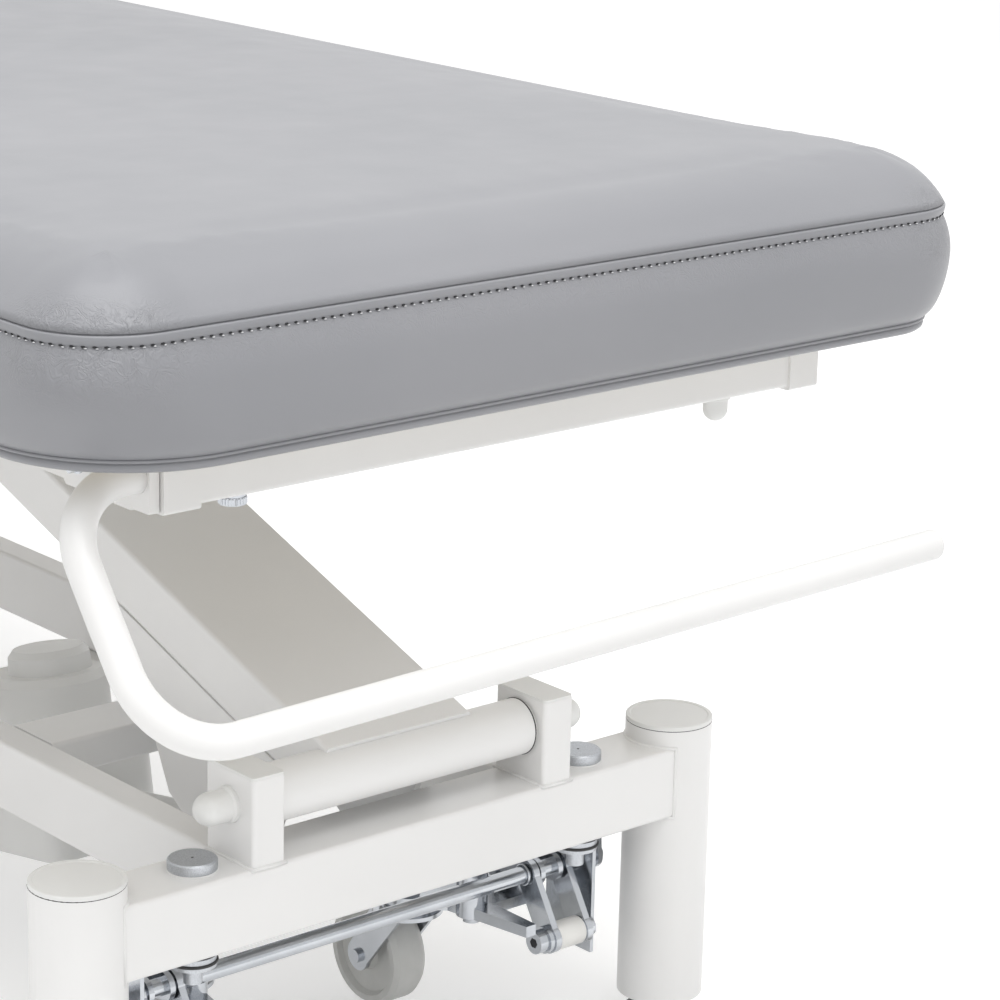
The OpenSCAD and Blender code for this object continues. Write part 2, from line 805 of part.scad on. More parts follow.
module holder_tube() {
  color(white) {
    run(holder_a, bend_end(holder_a, holder_b, holder_c, holder_r1));
    bend(holder_a, holder_b, holder_c, holder_r1);
    run(bend_end(holder_c, holder_b, holder_a, holder_r1), bend_end(holder_b, holder_c, holder_e, holder_r2));
    bend(holder_b, holder_c, holder_e, holder_r2);
    run(bend_end(holder_e, holder_c, holder_b, holder_r2), holder_e);
  }
}

// ---- Castors and their lift ----

// One lever pair between the shaft and a point dy, dz from it
module lever_pair(x, gap, dy, dz, hole_r, t = 4, root_r = 10, tip_r = 8) {
  across = [-dz, dy] / norm([dy, dz]);
  for (side = [-1, 1]) translate([0, front_y + shaft_off, shaft_z])
    plate_x(x + side * gap - t / 2, t) difference() {
      union() {
        circle(root_r);
        translate([dy, dz]) circle(tip_r);
        polygon([across * (root_r - 1), -across * (root_r - 1),
          [dy, dz] - across * (tip_r - 1), [dy, dz] + across * (tip_r - 1)]);
      }
      circle(shaft_d / 2);
      translate([dy, dz]) circle(hole_r);
    }
}

// Levers whose rollers press the castor carriers down
module rollers() {
  dy = roller_off - shaft_off;
  dz = roller_z - shaft_z;
  color(zinc) both_sides() lever_pair(roller_x, roller_gap, dy, dz, 4);
  color(plastic) both_sides() translate([roller_x, front_y + roller_off, roller_z]) rod_x(roller_l, roller_r);
  color(zinc) both_sides() translate([roller_x, front_y + roller_off, roller_z]) difference() {
    rod_x(2 * roller_gap + 8, 4);
    rod_x(roller_l, 5);
  }
}

// Levers with a bushed bolt that stops the shaft at both ends of its turn
module stop_levers() {
  between = 2 * stop_gap - stop_t;
  color(zinc) both_sides() lever_pair(stop_x, stop_gap, stop_dy, stop_dz, stop_bolt_r, stop_t, stop_r, stop_r);
  both_sides() translate([stop_x, front_y + shaft_off + stop_dy, shaft_z + stop_dz]) {
    color(plastic) rod_x(between, 9.5);
    color(zinc) difference() {
      union() {
        rod_x(2 * stop_gap + stop_t + 2, stop_bolt_r);
        translate([-stop_gap - stop_t / 2 - 2, 0, 0]) rod_x(4, 9.5);
        translate([-stop_gap - stop_t / 2 - 8, 0, 0]) rod_x(8, 8);
        translate([stop_gap + stop_t / 2 + 2.75, 0, 0]) rod_x(5.5, 7);
      }
      rod_x(between, 12);
    }
  }
}

module shaft(half) {
  color(zinc) translate([0, front_y + shaft_off, shaft_z]) rod_x(2 * half, shaft_d / 2);
}

module front_pedal_shaft() {
  shaft(shaft_half);
  rollers();
  stop_levers();
  color(zinc) lever_pair(link_x, 7, 0, link_arm, link_r);
  color(zinc) translate([link_x, front_y + shaft_off, shaft_z + link_arm]) rod_x(20, link_r);
}

module rear_pedal_shaft() {
  mid = (front_y + rear_y) / 2;
  pedal_x = column_x + column_d / 2 + 45;
  translate([0, mid, 0]) mirror([0, 1, 0]) translate([0, -mid, 0]) {
    shaft(pedal_x + 20);
    rollers();
    stop_levers();
    color(zinc) lever_pair(link_x, 7, 0, -link_arm, link_r);
    color(zinc) translate([link_x, front_y + shaft_off, shaft_z - link_arm]) rod_x(20, link_r);
    color(zinc) both_sides() {
      lever_pair(pedal_x, 8, -70, 30, 4);
      translate([pedal_x, front_y + shaft_off - 70, shaft_z + 30]) rod_x(22, 4);
    }
    color(dark) both_sides() translate([pedal_x, front_y + shaft_off - 80, shaft_z + 37])
      linear_extrude(10) section(60, 90, 6);
  }
}

// Rod that joins the two shafts
module pedal_link() {
  p = [link_x, front_y + shaft_off, shaft_z + link_arm];
  q = [link_x, rear_y - shaft_off, shaft_z - link_arm];
  tilt = atan2(q[2] - p[2], q[1] - p[1]);
  l = norm(q - p);
  color(zinc) translate(p) rotate([tilt, 0, 0]) {
    for (end = [[0, link_r + running], [l, link_r + 2]]) translate([0, end[0], 0]) difference() {
      rod_x(8, 11);
      rod_x(10, end[1]);
    }
    translate([0, 10.5, 0]) rotate([-90, 0, 0]) cylinder(h = l - 21, r = 5);
  }
}

// Sleeve on the guide pin and the plate that reaches back to the castor's swivel
module carrier_pair() {
  color(zinc) both_sides() translate([0, front_y, 0]) difference() {
    union() {
      translate([slim_x, guide_off, carrier_low]) cylinder(h = sleeve_top - carrier_low, r = sleeve_r);
      translate([0, 0, carrier_low]) linear_extrude(carrier_t) {
        polygon([
          [slim_x + 2.5, 5], [slim_x + sleeve_r, 5], [slim_x + sleeve_r, guide_off - 10],
          [roller_x + 9, guide_off - 10], [roller_x + 9, roller_off + roller_r],
          [swivel_x + 12, swivel_off + 12], [swivel_x - swivel_r + 1, swivel_off - 5],
          [slim_x - 10, guide_off + 14]
        ]);
        translate([swivel_x, swivel_off]) circle(swivel_r);
      }
    }
    translate([slim_x, guide_off, carrier_low - 1]) cylinder(h = sleeve_top, r = guide_d / 2 + 2 * running);
    translate([swivel_x, swivel_off, carrier_low - 1]) cylinder(h = carrier_t + 2, r = 6 + running);
  }
}

module front_carriers() { carrier_pair(); }

module rear_carriers() {
  mid = (front_y + rear_y) / 2;
  translate([0, mid, 0]) mirror([0, 1, 0]) translate([0, -mid, 0]) carrier_pair();
}

// Puts a castor part at one corner: sx and sy are the corner's signs
module castor_at(sx, sy) {
  y = sy < 0 ? front_y + swivel_off : rear_y - swivel_off;
  translate([sx * swivel_x, y, 0]) mirror([0, sy > 0 ? 1 : 0, 0]) children();
}

module castor_fork() {
  color(zinc) {
    translate([0, 0, fork_top]) cylinder(h = carrier_low - fork_top - 0.3, r = 20);
    translate([0, 0, carrier_low - 1]) cylinder(h = carrier_t + 9, r = 6);
    translate([0, 0, carrier_low + carrier_t + 0.3]) cylinder(h = 6, r = 9, $fn = 6);
    translate([0, 0, fork_top - fork_t]) cylinder(h = fork_t, r = 25);
    both_sides() plate_x(fork_in, fork_t) {
      translate([trail, axle_z]) circle(11);
      polygon([[-16, fork_top - eps], [16, fork_top - eps], [trail + 10, axle_z + 5],
        [trail - 5, axle_z - 10]]);
    }
    translate([0, trail, axle_z]) rod_x(2 * (fork_in + fork_t) + 6, 5);
  }
}

module castor_wheel() {
  r = wheel_d / 2;
  h = wheel_w / 2;
  color(plastic) translate([0, trail, axle_z]) rotate([0, 90, 0]) rotate_extrude($fn = 96) polygon([
    [5 + running, -h - 1], [11, -h - 1], [12, -h + 4], [r - 9, -h + 4], [r - 7, -h], [r - 2.5, -h], [r, -h + 4],
    [r, h - 4], [r - 2.5, h], [r - 7, h], [r - 9, h - 4], [12, h - 4], [11, h + 1], [5 + running, h + 1]
  ]);
}

module castor_fork_front_left() { castor_at(-1, -1) castor_fork(); }

module castor_fork_front_right() { castor_at(1, -1) castor_fork(); }

module castor_fork_rear_left() { castor_at(-1, 1) castor_fork(); }

module castor_fork_rear_right() { castor_at(1, 1) castor_fork(); }

module castor_wheel_front_left() { castor_at(-1, -1) castor_wheel(); }

module castor_wheel_front_right() { castor_at(1, -1) castor_wheel(); }

module castor_wheel_rear_left() { castor_at(-1, 1) castor_wheel(); }

module castor_wheel_rear_right() { castor_at(1, 1) castor_wheel(); }

front_cross_beam();
rear_cross_beam();
long_beams();
cross_members();
columns();
column_caps();
floor_feet();
pivot_posts();
post_caps();
pivot_axles();
axle_cap_nuts();
guide_pins();
shaft_brackets();
actuator_bracket();
front_arm_box();
front_arm_gussets();
front_pivot_tube();
front_head_tube();
front_arm_bushes();
lever_bolts();
rear_arm_box();
rear_pivot_tube();
rear_head_tube();
rear_arm_bushes();
side_rails();
end_rail();
rail_sleeves();
cross_rails();
arm_brackets();
head_axles();
frame_bolts();
rail_cap();
side_bracket();
seat_board();
seat_pad();
seat_hinge_straps();
control_box();
backrest_frame();
backrest_board();
backrest_pad();
backrest_hinge_straps();
gas_spring_cylinder();
gas_spring_rod();
actuator_housing();
actuator_rod();
holder_plug();
holder_tube();
front_pedal_shaft();
rear_pedal_shaft();
pedal_link();
front_carriers();
rear_carriers();
castor_fork_front_left();
castor_fork_front_right();
castor_fork_rear_left();
castor_fork_rear_right();
castor_wheel_front_left();
castor_wheel_front_right();
castor_wheel_rear_left();
castor_wheel_rear_right();
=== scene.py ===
import math

import bmesh
import bpy
import numpy as np
from mathutils import Matrix, Vector
from mathutils.kdtree import KDTree


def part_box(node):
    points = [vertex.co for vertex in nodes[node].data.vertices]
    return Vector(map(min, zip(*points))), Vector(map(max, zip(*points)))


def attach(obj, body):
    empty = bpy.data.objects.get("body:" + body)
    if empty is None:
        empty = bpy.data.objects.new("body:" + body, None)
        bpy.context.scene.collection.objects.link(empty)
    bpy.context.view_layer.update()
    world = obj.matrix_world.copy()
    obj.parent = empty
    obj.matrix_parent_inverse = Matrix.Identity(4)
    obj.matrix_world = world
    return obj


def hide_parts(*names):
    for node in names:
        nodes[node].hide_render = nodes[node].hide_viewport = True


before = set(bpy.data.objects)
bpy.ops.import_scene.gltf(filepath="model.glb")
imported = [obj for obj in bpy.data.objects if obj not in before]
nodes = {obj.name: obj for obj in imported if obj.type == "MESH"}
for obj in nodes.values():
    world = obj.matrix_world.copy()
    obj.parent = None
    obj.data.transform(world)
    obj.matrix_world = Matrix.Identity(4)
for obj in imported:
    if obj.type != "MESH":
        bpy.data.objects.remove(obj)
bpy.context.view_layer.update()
mm = 0.001


cameraView = {
    "fromBeam": (-1.2507, -1.5495, 0.7805),  # from the middle of the front beam's top face
    "yaw": 40.75,
    "pitch": 15.96,
    "roll": 1.27,
    "lens": 118.54,
}


def middle(node):
    low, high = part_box(node)
    return (low + high) / 2


def makeCamera():
    low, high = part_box("front_cross_beam")
    yaw, pitch, roll = (math.radians(cameraView[k]) for k in ("yaw", "pitch", "roll"))
    ahead = math.cos(pitch)
    forward = Vector((math.sin(yaw) * ahead, math.cos(yaw) * ahead, -math.sin(pitch)))
    level = Vector((math.cos(yaw), -math.sin(yaw), 0))
    up = level.cross(forward)
    right = level * math.cos(roll) + up * math.sin(roll)
    up = right.cross(forward)
    data = bpy.data.cameras.new("camera")
    data.lens = cameraView["lens"]
    data.sensor_width = 36
    data.clip_end = 60
    camera = bpy.data.objects.new("camera", data)
    bpy.context.collection.objects.link(camera)
    turn = Matrix((right, up, -forward)).transposed().to_4x4()
    centre = middle("front_cross_beam")
    place = Vector((centre.x, centre.y, high.z)) + Vector(cameraView["fromBeam"])
    camera.matrix_world = Matrix.Translation(place) @ turn
    bpy.context.scene.camera = camera


studio = {
    "worldLight": 0.76,
    "overhead": {"at": (-0.3, -1.1, 3.4), "size": 3.2, "power": 76},
    "front": {"at": (-0.4, -2.8, 3.6), "size": 2.6, "power": 32},
    "left": {"at": (-3.8, -1.6, 1.9), "size": 2.4, "power": 5},
    "aim": (0, -0.4, 0.5),
    "floorHalf": 14,
    "floorColour": 0.86,
    "floorGlow": 0.30,
}


def seenDirectly(tree):
    # 1 where the camera, a reflection or a clear part looks at the surface, 0 where it only lights
    path = tree.nodes.new("ShaderNodeLightPath")
    most = None
    for name in ("Is Glossy Ray", "Is Transmission Ray"):
        join = tree.nodes.new("ShaderNodeMath")
        join.operation = "MAXIMUM"
        tree.links.new(most or path.outputs["Is Camera Ray"], join.inputs[0])
        tree.links.new(path.outputs[name], join.inputs[1])
        most = join.outputs[0]
    return most


def makeWorld():
    world = bpy.data.worlds.new("studio")
    bpy.context.scene.world = world
    world.use_nodes = True
    tree = world.node_tree
    tree.nodes.clear()
    out = tree.nodes.new("ShaderNodeOutputWorld")
    mix = tree.nodes.new("ShaderNodeMixShader")
    light = tree.nodes.new("ShaderNodeBackground")
    light.inputs["Color"].default_value = (1, 1, 1, 1)
    light.inputs["Strength"].default_value = studio["worldLight"]
    seen = tree.nodes.new("ShaderNodeBackground")
    seen.inputs["Color"].default_value = (1, 1, 1, 1)
    seen.inputs["Strength"].default_value = 1
    tree.links.new(seenDirectly(tree), mix.inputs["Fac"])
    tree.links.new(light.outputs[0], mix.inputs[1])
    tree.links.new(seen.outputs[0], mix.inputs[2])
    tree.links.new(mix.outputs[0], out.inputs["Surface"])


def makeLamp(name):
    lamp = studio[name]
    data = bpy.data.lights.new(name, "AREA")
    data.energy = lamp["power"]
    data.size = lamp["size"]
    obj = bpy.data.objects.new(name, data)
    obj.location = lamp["at"]
    aim = Vector(studio["aim"]) - obj.location
    obj.rotation_euler = aim.to_track_quat("-Z", "Y").to_euler()
    bpy.context.collection.objects.link(obj)


def makeFloor():
    half = studio["floorHalf"]
    corners = [(-half, -half, 0), (half, -half, 0), (half, half, 0), (-half, half, 0)]
    mesh = bpy.data.meshes.new("floor")
    mesh.from_pydata(corners, [], [(0, 1, 2, 3)])
    floor = bpy.data.objects.new("floor", mesh)
    bpy.context.collection.objects.link(floor)
    material = bpy.data.materials.new("floor")
    material.use_nodes = True
    tree = material.node_tree
    tree.nodes.clear()
    out = tree.nodes.new("ShaderNodeOutputMaterial")
    diffuse = tree.nodes.new("ShaderNodeBsdfDiffuse")
    diffuse.inputs["Color"].default_value = (studio["floorColour"],) * 3 + (1,)
    glow = tree.nodes.new("ShaderNodeEmission")
    strength = tree.nodes.new("ShaderNodeMath")
    strength.operation = "MULTIPLY"
    strength.inputs[1].default_value = studio["floorGlow"]
    tree.links.new(seenDirectly(tree), strength.inputs[0])
    tree.links.new(strength.outputs[0], glow.inputs["Strength"])
    both = tree.nodes.new("ShaderNodeAddShader")
    tree.links.new(diffuse.outputs[0], both.inputs[0])
    tree.links.new(glow.outputs[0], both.inputs[1])
    tree.links.new(both.outputs[0], out.inputs["Surface"])
    mesh.materials.append(material)


makeCamera()
makeWorld()
for lampName in ("overhead", "front", "left"):
    makeLamp(lampName)
makeFloor()
bpy.context.scene.view_settings.view_transform = "Standard"
print("camera, lamps and floor made")


def newMaterial(name, colour, roughness, metallic=0.0):
    material = bpy.data.materials.new(name)
    material.use_nodes = True
    shader = material.node_tree.nodes["Principled BSDF"]
    shader.inputs["Base Color"].default_value = (*colour, 1)
    shader.inputs["Roughness"].default_value = roughness
    shader.inputs["Metallic"].default_value = metallic
    return material, material.node_tree, shader


def objectPoint(tree, scale=(1, 1, 1)):
    point = tree.nodes.new("ShaderNodeTexCoord").outputs["Object"]
    if scale == (1, 1, 1):
        return point
    mapping = tree.nodes.new("ShaderNodeMapping")
    mapping.inputs["Scale"].default_value = scale
    tree.links.new(point, mapping.inputs["Vector"])
    return mapping.outputs["Vector"]


def addNoise(tree, point, scale, detail=3.0, rough=0.5):
    noise = tree.nodes.new("ShaderNodeTexNoise")
    noise.inputs["Scale"].default_value = scale
    noise.inputs["Detail"].default_value = detail
    noise.inputs["Roughness"].default_value = rough
    tree.links.new(point, noise.inputs["Vector"])
    return noise.outputs["Fac"]


def spread(tree, value, low, high, fromLow=0.0, fromHigh=1.0):
    ramp = tree.nodes.new("ShaderNodeMapRange")
    for name, number in (("From Min", fromLow), ("From Max", fromHigh), ("To Min", low), ("To Max", high)):
        ramp.inputs[name].default_value = number
    tree.links.new(value, ramp.inputs["Value"])
    return ramp.outputs["Result"]


def tint(tree, value, first, second):
    mix = tree.nodes.new("ShaderNodeMix")
    mix.data_type = "RGBA"
    mix.inputs["A"].default_value = (*first, 1)
    mix.inputs["B"].default_value = (*second, 1)
    tree.links.new(value, mix.inputs["Factor"])
    return mix.outputs["Result"]


def addBump(tree, shader, height, strength, distance, before=None):
    bump = tree.nodes.new("ShaderNodeBump")
    bump.inputs["Strength"].default_value = strength
    bump.inputs["Distance"].default_value = distance
    tree.links.new(height, bump.inputs["Height"])
    if before:
        tree.links.new(before, bump.inputs["Normal"])
    tree.links.new(bump.outputs["Normal"], shader.inputs["Normal"])
    return bump.outputs["Normal"]


paint = {"colour": (0.80, 0.795, 0.785), "shade": (0.765, 0.76, 0.75), "roughness": 0.34, "peel": 0.9 * mm}


def powderCoat():
    material, tree, shader = newMaterial("powderCoat", paint["colour"], paint["roughness"])
    point = objectPoint(tree)
    cloud = addNoise(tree, point, 6, 4)
    tree.links.new(tint(tree, spread(tree, cloud, 0, 1, 0.35, 0.7), paint["colour"], paint["shade"]),
                   shader.inputs["Base Color"])
    rough = paint["roughness"]
    tree.links.new(spread(tree, addNoise(tree, point, 30, 2), rough - 0.04, rough + 0.06),
                   shader.inputs["Roughness"])
    peel = addNoise(tree, point, 0.5 / paint["peel"], 2, 0.4)
    addBump(tree, shader, peel, 0.12, 0.05 * mm)
    return material


def whitePlastic():
    material, tree, shader = newMaterial("whitePlastic", (0.76, 0.76, 0.745), 0.42)
    point = objectPoint(tree)
    tree.links.new(tint(tree, addNoise(tree, point, 18, 3), (0.78, 0.78, 0.765), (0.735, 0.735, 0.72)),
                   shader.inputs["Base Color"])
    addBump(tree, shader, addNoise(tree, point, 2600, 2, 0.6), 0.22, 0.03 * mm)
    return material


def zincPlate():
    material, tree, shader = newMaterial("zincPlate", (0.53, 0.55, 0.58), 0.2, 1.0)
    point = objectPoint(tree)
    cloud = addNoise(tree, point, 28, 3, 0.5)
    tree.links.new(tint(tree, spread(tree, cloud, 0, 1, 0.3, 0.7), (0.56, 0.58, 0.61), (0.47, 0.49, 0.52)),
                   shader.inputs["Base Color"])
    tree.links.new(spread(tree, addNoise(tree, point, 160, 3, 0.5), 0.16, 0.26, 0.3, 0.7),
                   shader.inputs["Roughness"])
    addBump(tree, shader, addNoise(tree, point, 1500, 2, 0.5), 0.10, 0.04 * mm)
    return material


def turnedSteel():
    # the matt, finely speckled plating of the disc-headed bolts
    material, tree, shader = newMaterial("turnedSteel", (0.50, 0.52, 0.55), 0.42, 1.0)
    speck = addNoise(tree, objectPoint(tree), 1100, 4, 0.7)
    flecks = spread(tree, speck, 0, 1, 0.35, 0.65)
    tree.links.new(tint(tree, flecks, (0.56, 0.58, 0.61), (0.42, 0.435, 0.46)), shader.inputs["Base Color"])
    tree.links.new(spread(tree, speck, 0.34, 0.5), shader.inputs["Roughness"])
    addBump(tree, shader, speck, 0.2, 0.05 * mm)
    return material


def blackRubber():
    material, tree, shader = newMaterial("blackRubber", (0.035, 0.035, 0.037), 0.62)
    point = objectPoint(tree)
    tree.links.new(tint(tree, addNoise(tree, point, 40, 3), (0.03, 0.03, 0.032), (0.055, 0.055, 0.056)),
                   shader.inputs["Base Color"])
    addBump(tree, shader, addNoise(tree, point, 900, 3), 0.3, 0.1 * mm)
    return material


def blackEnamel():
    material, tree, shader = newMaterial("blackEnamel", (0.02, 0.02, 0.021), 0.24)
    point = objectPoint(tree)
    tree.links.new(spread(tree, addNoise(tree, point, 120, 3), 0.18, 0.34), shader.inputs["Roughness"])
    addBump(tree, shader, addNoise(tree, point, 700, 2), 0.08, 0.05 * mm)
    return material


def greyTread():
    material, tree, shader = newMaterial("greyTread", (0.62, 0.62, 0.60), 0.5)
    point = objectPoint(tree)
    tree.links.new(tint(tree, addNoise(tree, point, 55, 4), (0.66, 0.66, 0.64), (0.53, 0.53, 0.51)),
                   shader.inputs["Base Color"])
    addBump(tree, shader, addNoise(tree, point, 1200, 3), 0.25, 0.08 * mm)
    return material


def birchBoard():
    material, tree, shader = newMaterial("birchBoard", (0.71, 0.67, 0.59), 0.6)
    grain = addNoise(tree, objectPoint(tree, (60, 4, 60)), 1, 5, 0.6)
    tree.links.new(tint(tree, spread(tree, grain, 0, 1, 0.3, 0.7), (0.74, 0.70, 0.62), (0.67, 0.62, 0.53)),
                   shader.inputs["Base Color"])
    addBump(tree, shader, grain, 0.15, 0.1 * mm)
    return material


vinylLook = {
    "colour": (0.262, 0.264, 0.280),
    "shade": (0.246, 0.249, 0.265),
    "roughness": 0.36,
    "grain": 1.1 * mm,  # width of one pebble of the grain
    "crease": 10 * mm,  # length of the soft stretch creases
    "creaseWidth": 0.07,
    "creaseStrength": 0.6,
}


def vinylSkin():
    look = vinylLook
    material, tree, shader = newMaterial("vinylSkin", look["colour"], look["roughness"])
    point = objectPoint(tree)
    cloud = spread(tree, addNoise(tree, point, 5, 3), 0, 1, 0.35, 0.65)
    tree.links.new(tint(tree, cloud, look["colour"], look["shade"]), shader.inputs["Base Color"])
    rough = look["roughness"]
    tree.links.new(spread(tree, addNoise(tree, point, 24, 3), rough - 0.05, rough + 0.07),
                   shader.inputs["Roughness"])
    pebble = tree.nodes.new("ShaderNodeTexVoronoi")
    pebble.feature = "SMOOTH_F1"
    pebble.inputs["Scale"].default_value = 1 / look["grain"]
    pebble.inputs["Smoothness"].default_value = 0.6
    tree.links.new(point, pebble.inputs["Vector"])
    fine = addBump(tree, shader, pebble.outputs["Distance"], 0.10, 0.12 * mm)
    # soft creases, only where the skin is pulled over an edge
    folds = tree.nodes.new("ShaderNodeTexNoise")
    folds.inputs["Scale"].default_value = 1 / look["crease"]
    folds.inputs["Detail"].default_value = 3.5
    folds.inputs["Distortion"].default_value = 1.4
    tree.links.new(point, folds.inputs["Vector"])
    fold = tree.nodes.new("ShaderNodeMath")
    fold.operation = "PINGPONG"
    fold.inputs[1].default_value = look["creaseWidth"]
    tree.links.new(folds.outputs["Fac"], fold.inputs[0])
    crease = spread(tree, fold.outputs[0], 0, 1, 0, look["creaseWidth"])
    stretch = tree.nodes.new("ShaderNodeAttribute")
    stretch.attribute_name = "stretch"
    shaped = tree.nodes.new("ShaderNodeMath")
    shaped.operation = "MULTIPLY"
    tree.links.new(crease, shaped.inputs[0])
    tree.links.new(stretch.outputs["Fac"], shaped.inputs[1])
    addBump(tree, shader, shaped.outputs[0], look["creaseStrength"], 0.5 * mm, fine)
    return material


def nylonPlastic():
    material, tree, shader = newMaterial("nylonPlastic", (0.80, 0.79, 0.76), 0.38)
    cloud = addNoise(tree, objectPoint(tree), 80, 3)
    tree.links.new(tint(tree, cloud, (0.82, 0.81, 0.78), (0.76, 0.75, 0.72)), shader.inputs["Base Color"])
    return material


def threadWithPaintedHighlight():
    # light grey: partly the thread's own colour, partly painted highlight on the stitches
    material, tree, shader = newMaterial("threadWithPaintedHighlight", (0.74, 0.74, 0.75), 0.5)
    twist = addNoise(tree, objectPoint(tree), 2500, 2)
    tree.links.new(tint(tree, twist, (0.66, 0.66, 0.67), (0.80, 0.80, 0.81)), shader.inputs["Base Color"])
    return material


def needleHoleShade():
    # near black: painted shade in the needle holes and the bolt sockets, also the dark joint lines and the
    # dark centre dots of the disc heads
    material, tree, shader = newMaterial("needleHoleShade", (0.02, 0.02, 0.022), 0.8)
    fluff = addNoise(tree, objectPoint(tree), 900, 2)
    tree.links.new(spread(tree, fluff, 0.7, 0.95), shader.inputs["Roughness"])
    return material


finish = {
    "powder": powderCoat(),
    "plastic": whitePlastic(),
    "nylon": nylonPlastic(),
    "zinc": zincPlate(),
    "disc": turnedSteel(),
    "rubber": blackRubber(),
    "enamel": blackEnamel(),
    "tread": greyTread(),
    "board": birchBoard(),
    "vinyl": vinylSkin(),
    "thread": threadWithPaintedHighlight(),
    "hole": needleHoleShade(),
}

nodeFinish = {
    "powder": [
        "front_cross_beam", "rear_cross_beam", "long_beams", "cross_members", "columns", "pivot_posts",
        "actuator_bracket", "front_arm_box", "front_arm_gussets", "front_pivot_tube", "front_head_tube",
        "rear_arm_box", "rear_pivot_tube", "rear_head_tube", "side_rails", "end_rail", "rail_sleeves",
        "cross_rails", "arm_brackets", "side_bracket", "backrest_frame", "holder_plug", "holder_tube",
    ],
    "plastic": [
        "column_caps", "post_caps", "axle_cap_nuts", "front_arm_bushes", "rear_arm_bushes", "rail_cap",
        "control_box", "actuator_housing",
    ],
    "disc": ["guide_pins"],
    "zinc": [
        "pivot_axles", "shaft_brackets", "lever_bolts", "head_axles", "frame_bolts",
        "seat_hinge_straps", "backrest_hinge_straps", "gas_spring_rod", "actuator_rod",
        "front_pedal_shaft", "rear_pedal_shaft", "pedal_link", "front_carriers", "rear_carriers",
        "castor_fork_front_left", "castor_fork_front_right", "castor_fork_rear_left",
        "castor_fork_rear_right",
    ],
    "rubber": ["floor_feet"],
    "enamel": ["gas_spring_cylinder"],
    "tread": [
        "castor_wheel_front_left", "castor_wheel_front_right", "castor_wheel_rear_left",
        "castor_wheel_rear_right",
    ],
    "board": ["seat_board", "backrest_board"],
    "vinyl": ["seat_pad", "backrest_pad"],
}
for finishName, names in nodeFinish.items():
    for nodeName in names:
        slots = nodes[nodeName].data.materials
        slots.clear()
        slots.append(finish[finishName])
print("finishes:", len(finish))


def addObject(name, mesh):
    obj = bpy.data.objects.new(name, mesh)
    bpy.context.collection.objects.link(obj)
    return obj


def meshFrom(name, points, edges, faces, smooth=True):
    mesh = bpy.data.meshes.new(name)
    mesh.from_pydata([tuple(p) for p in points], edges, faces)
    mesh.polygons.foreach_set("use_smooth", [smooth] * len(mesh.polygons))
    mesh.update()
    return mesh


def growTree(name, inputs):
    # an empty node tree with named inputs; returns the tree, its input and its output
    tree = bpy.data.node_groups.new(name, "GeometryNodeTree")
    face = tree.interface
    face.new_socket("Geometry", in_out="INPUT", socket_type="NodeSocketGeometry")
    for label, kind in inputs:
        face.new_socket(label, in_out="INPUT", socket_type="NodeSocket" + kind)
    face.new_socket("Geometry", in_out="OUTPUT", socket_type="NodeSocketGeometry")
    return tree, tree.nodes.new("NodeGroupInput"), tree.nodes.new("NodeGroupOutput")


def finishTree(tree, source, geometry, end):
    # every tree ends in Realize Instances and Set Material
    real = tree.nodes.new("GeometryNodeRealizeInstances")
    paintIt = tree.nodes.new("GeometryNodeSetMaterial")
    tree.links.new(geometry, real.inputs[0])
    tree.links.new(real.outputs[0], paintIt.inputs["Geometry"])
    tree.links.new(source.outputs["Material"], paintIt.inputs["Material"])
    tree.links.new(paintIt.outputs[0], end.inputs[0])
    return tree


def runTree(name, mesh, tree, values):
    # runs a tree on a mesh and keeps the result as a plain mesh
    carrier = addObject(name + "Carrier", mesh)
    modifier = carrier.modifiers.new("grow", "NODES")
    modifier.node_group = tree
    for item in tree.interface.items_tree:
        if item.in_out == "INPUT" and item.name in values:
            modifier[item.identifier] = values[item.name]
    graph = bpy.context.evaluated_depsgraph_get()
    result = bpy.data.meshes.new_from_object(carrier.evaluated_get(graph))
    carrier.modifiers.remove(modifier)
    bpy.data.objects.remove(carrier)
    result.polygons.foreach_set("use_smooth", [True] * len(result.polygons))
    return addObject(name, result)


def stitchTree():
    inputs = [("Pitch", "Float"), ("Size", "Vector"), ("Shift", "Vector"), ("Material", "Material")]
    tree, source, end = growTree("stitches", inputs)
    curve = tree.nodes.new("GeometryNodeMeshToCurve")
    steps = tree.nodes.new("GeometryNodeResampleCurve")
    steps.mode = "LENGTH"
    bead = tree.nodes.new("GeometryNodeMeshUVSphere")
    bead.inputs["Segments"].default_value = 6
    bead.inputs["Rings"].default_value = 4
    bead.inputs["Radius"].default_value = 0.5
    tangent = tree.nodes.new("GeometryNodeInputTangent")
    turn = tree.nodes.new("FunctionNodeAlignRotationToVector")
    turn.axis = "X"
    turn.pivot_axis = "Z"
    place = tree.nodes.new("GeometryNodeInstanceOnPoints")
    shape = tree.nodes.new("GeometryNodeTransform")
    tree.links.new(source.outputs["Geometry"], curve.inputs[0])
    tree.links.new(curve.outputs[0], steps.inputs["Curve"])
    tree.links.new(source.outputs["Pitch"], steps.inputs["Length"])
    tree.links.new(steps.outputs[0], place.inputs["Points"])
    tree.links.new(bead.outputs["Mesh"], shape.inputs["Geometry"])
    tree.links.new(source.outputs["Size"], shape.inputs["Scale"])
    tree.links.new(source.outputs["Shift"], shape.inputs["Translation"])
    tree.links.new(shape.outputs[0], place.inputs["Instance"])
    tree.links.new(tangent.outputs[0], turn.inputs["Vector"])
    tree.links.new(turn.outputs[0], place.inputs["Rotation"])
    return finishTree(tree, source, place.outputs[0], end)


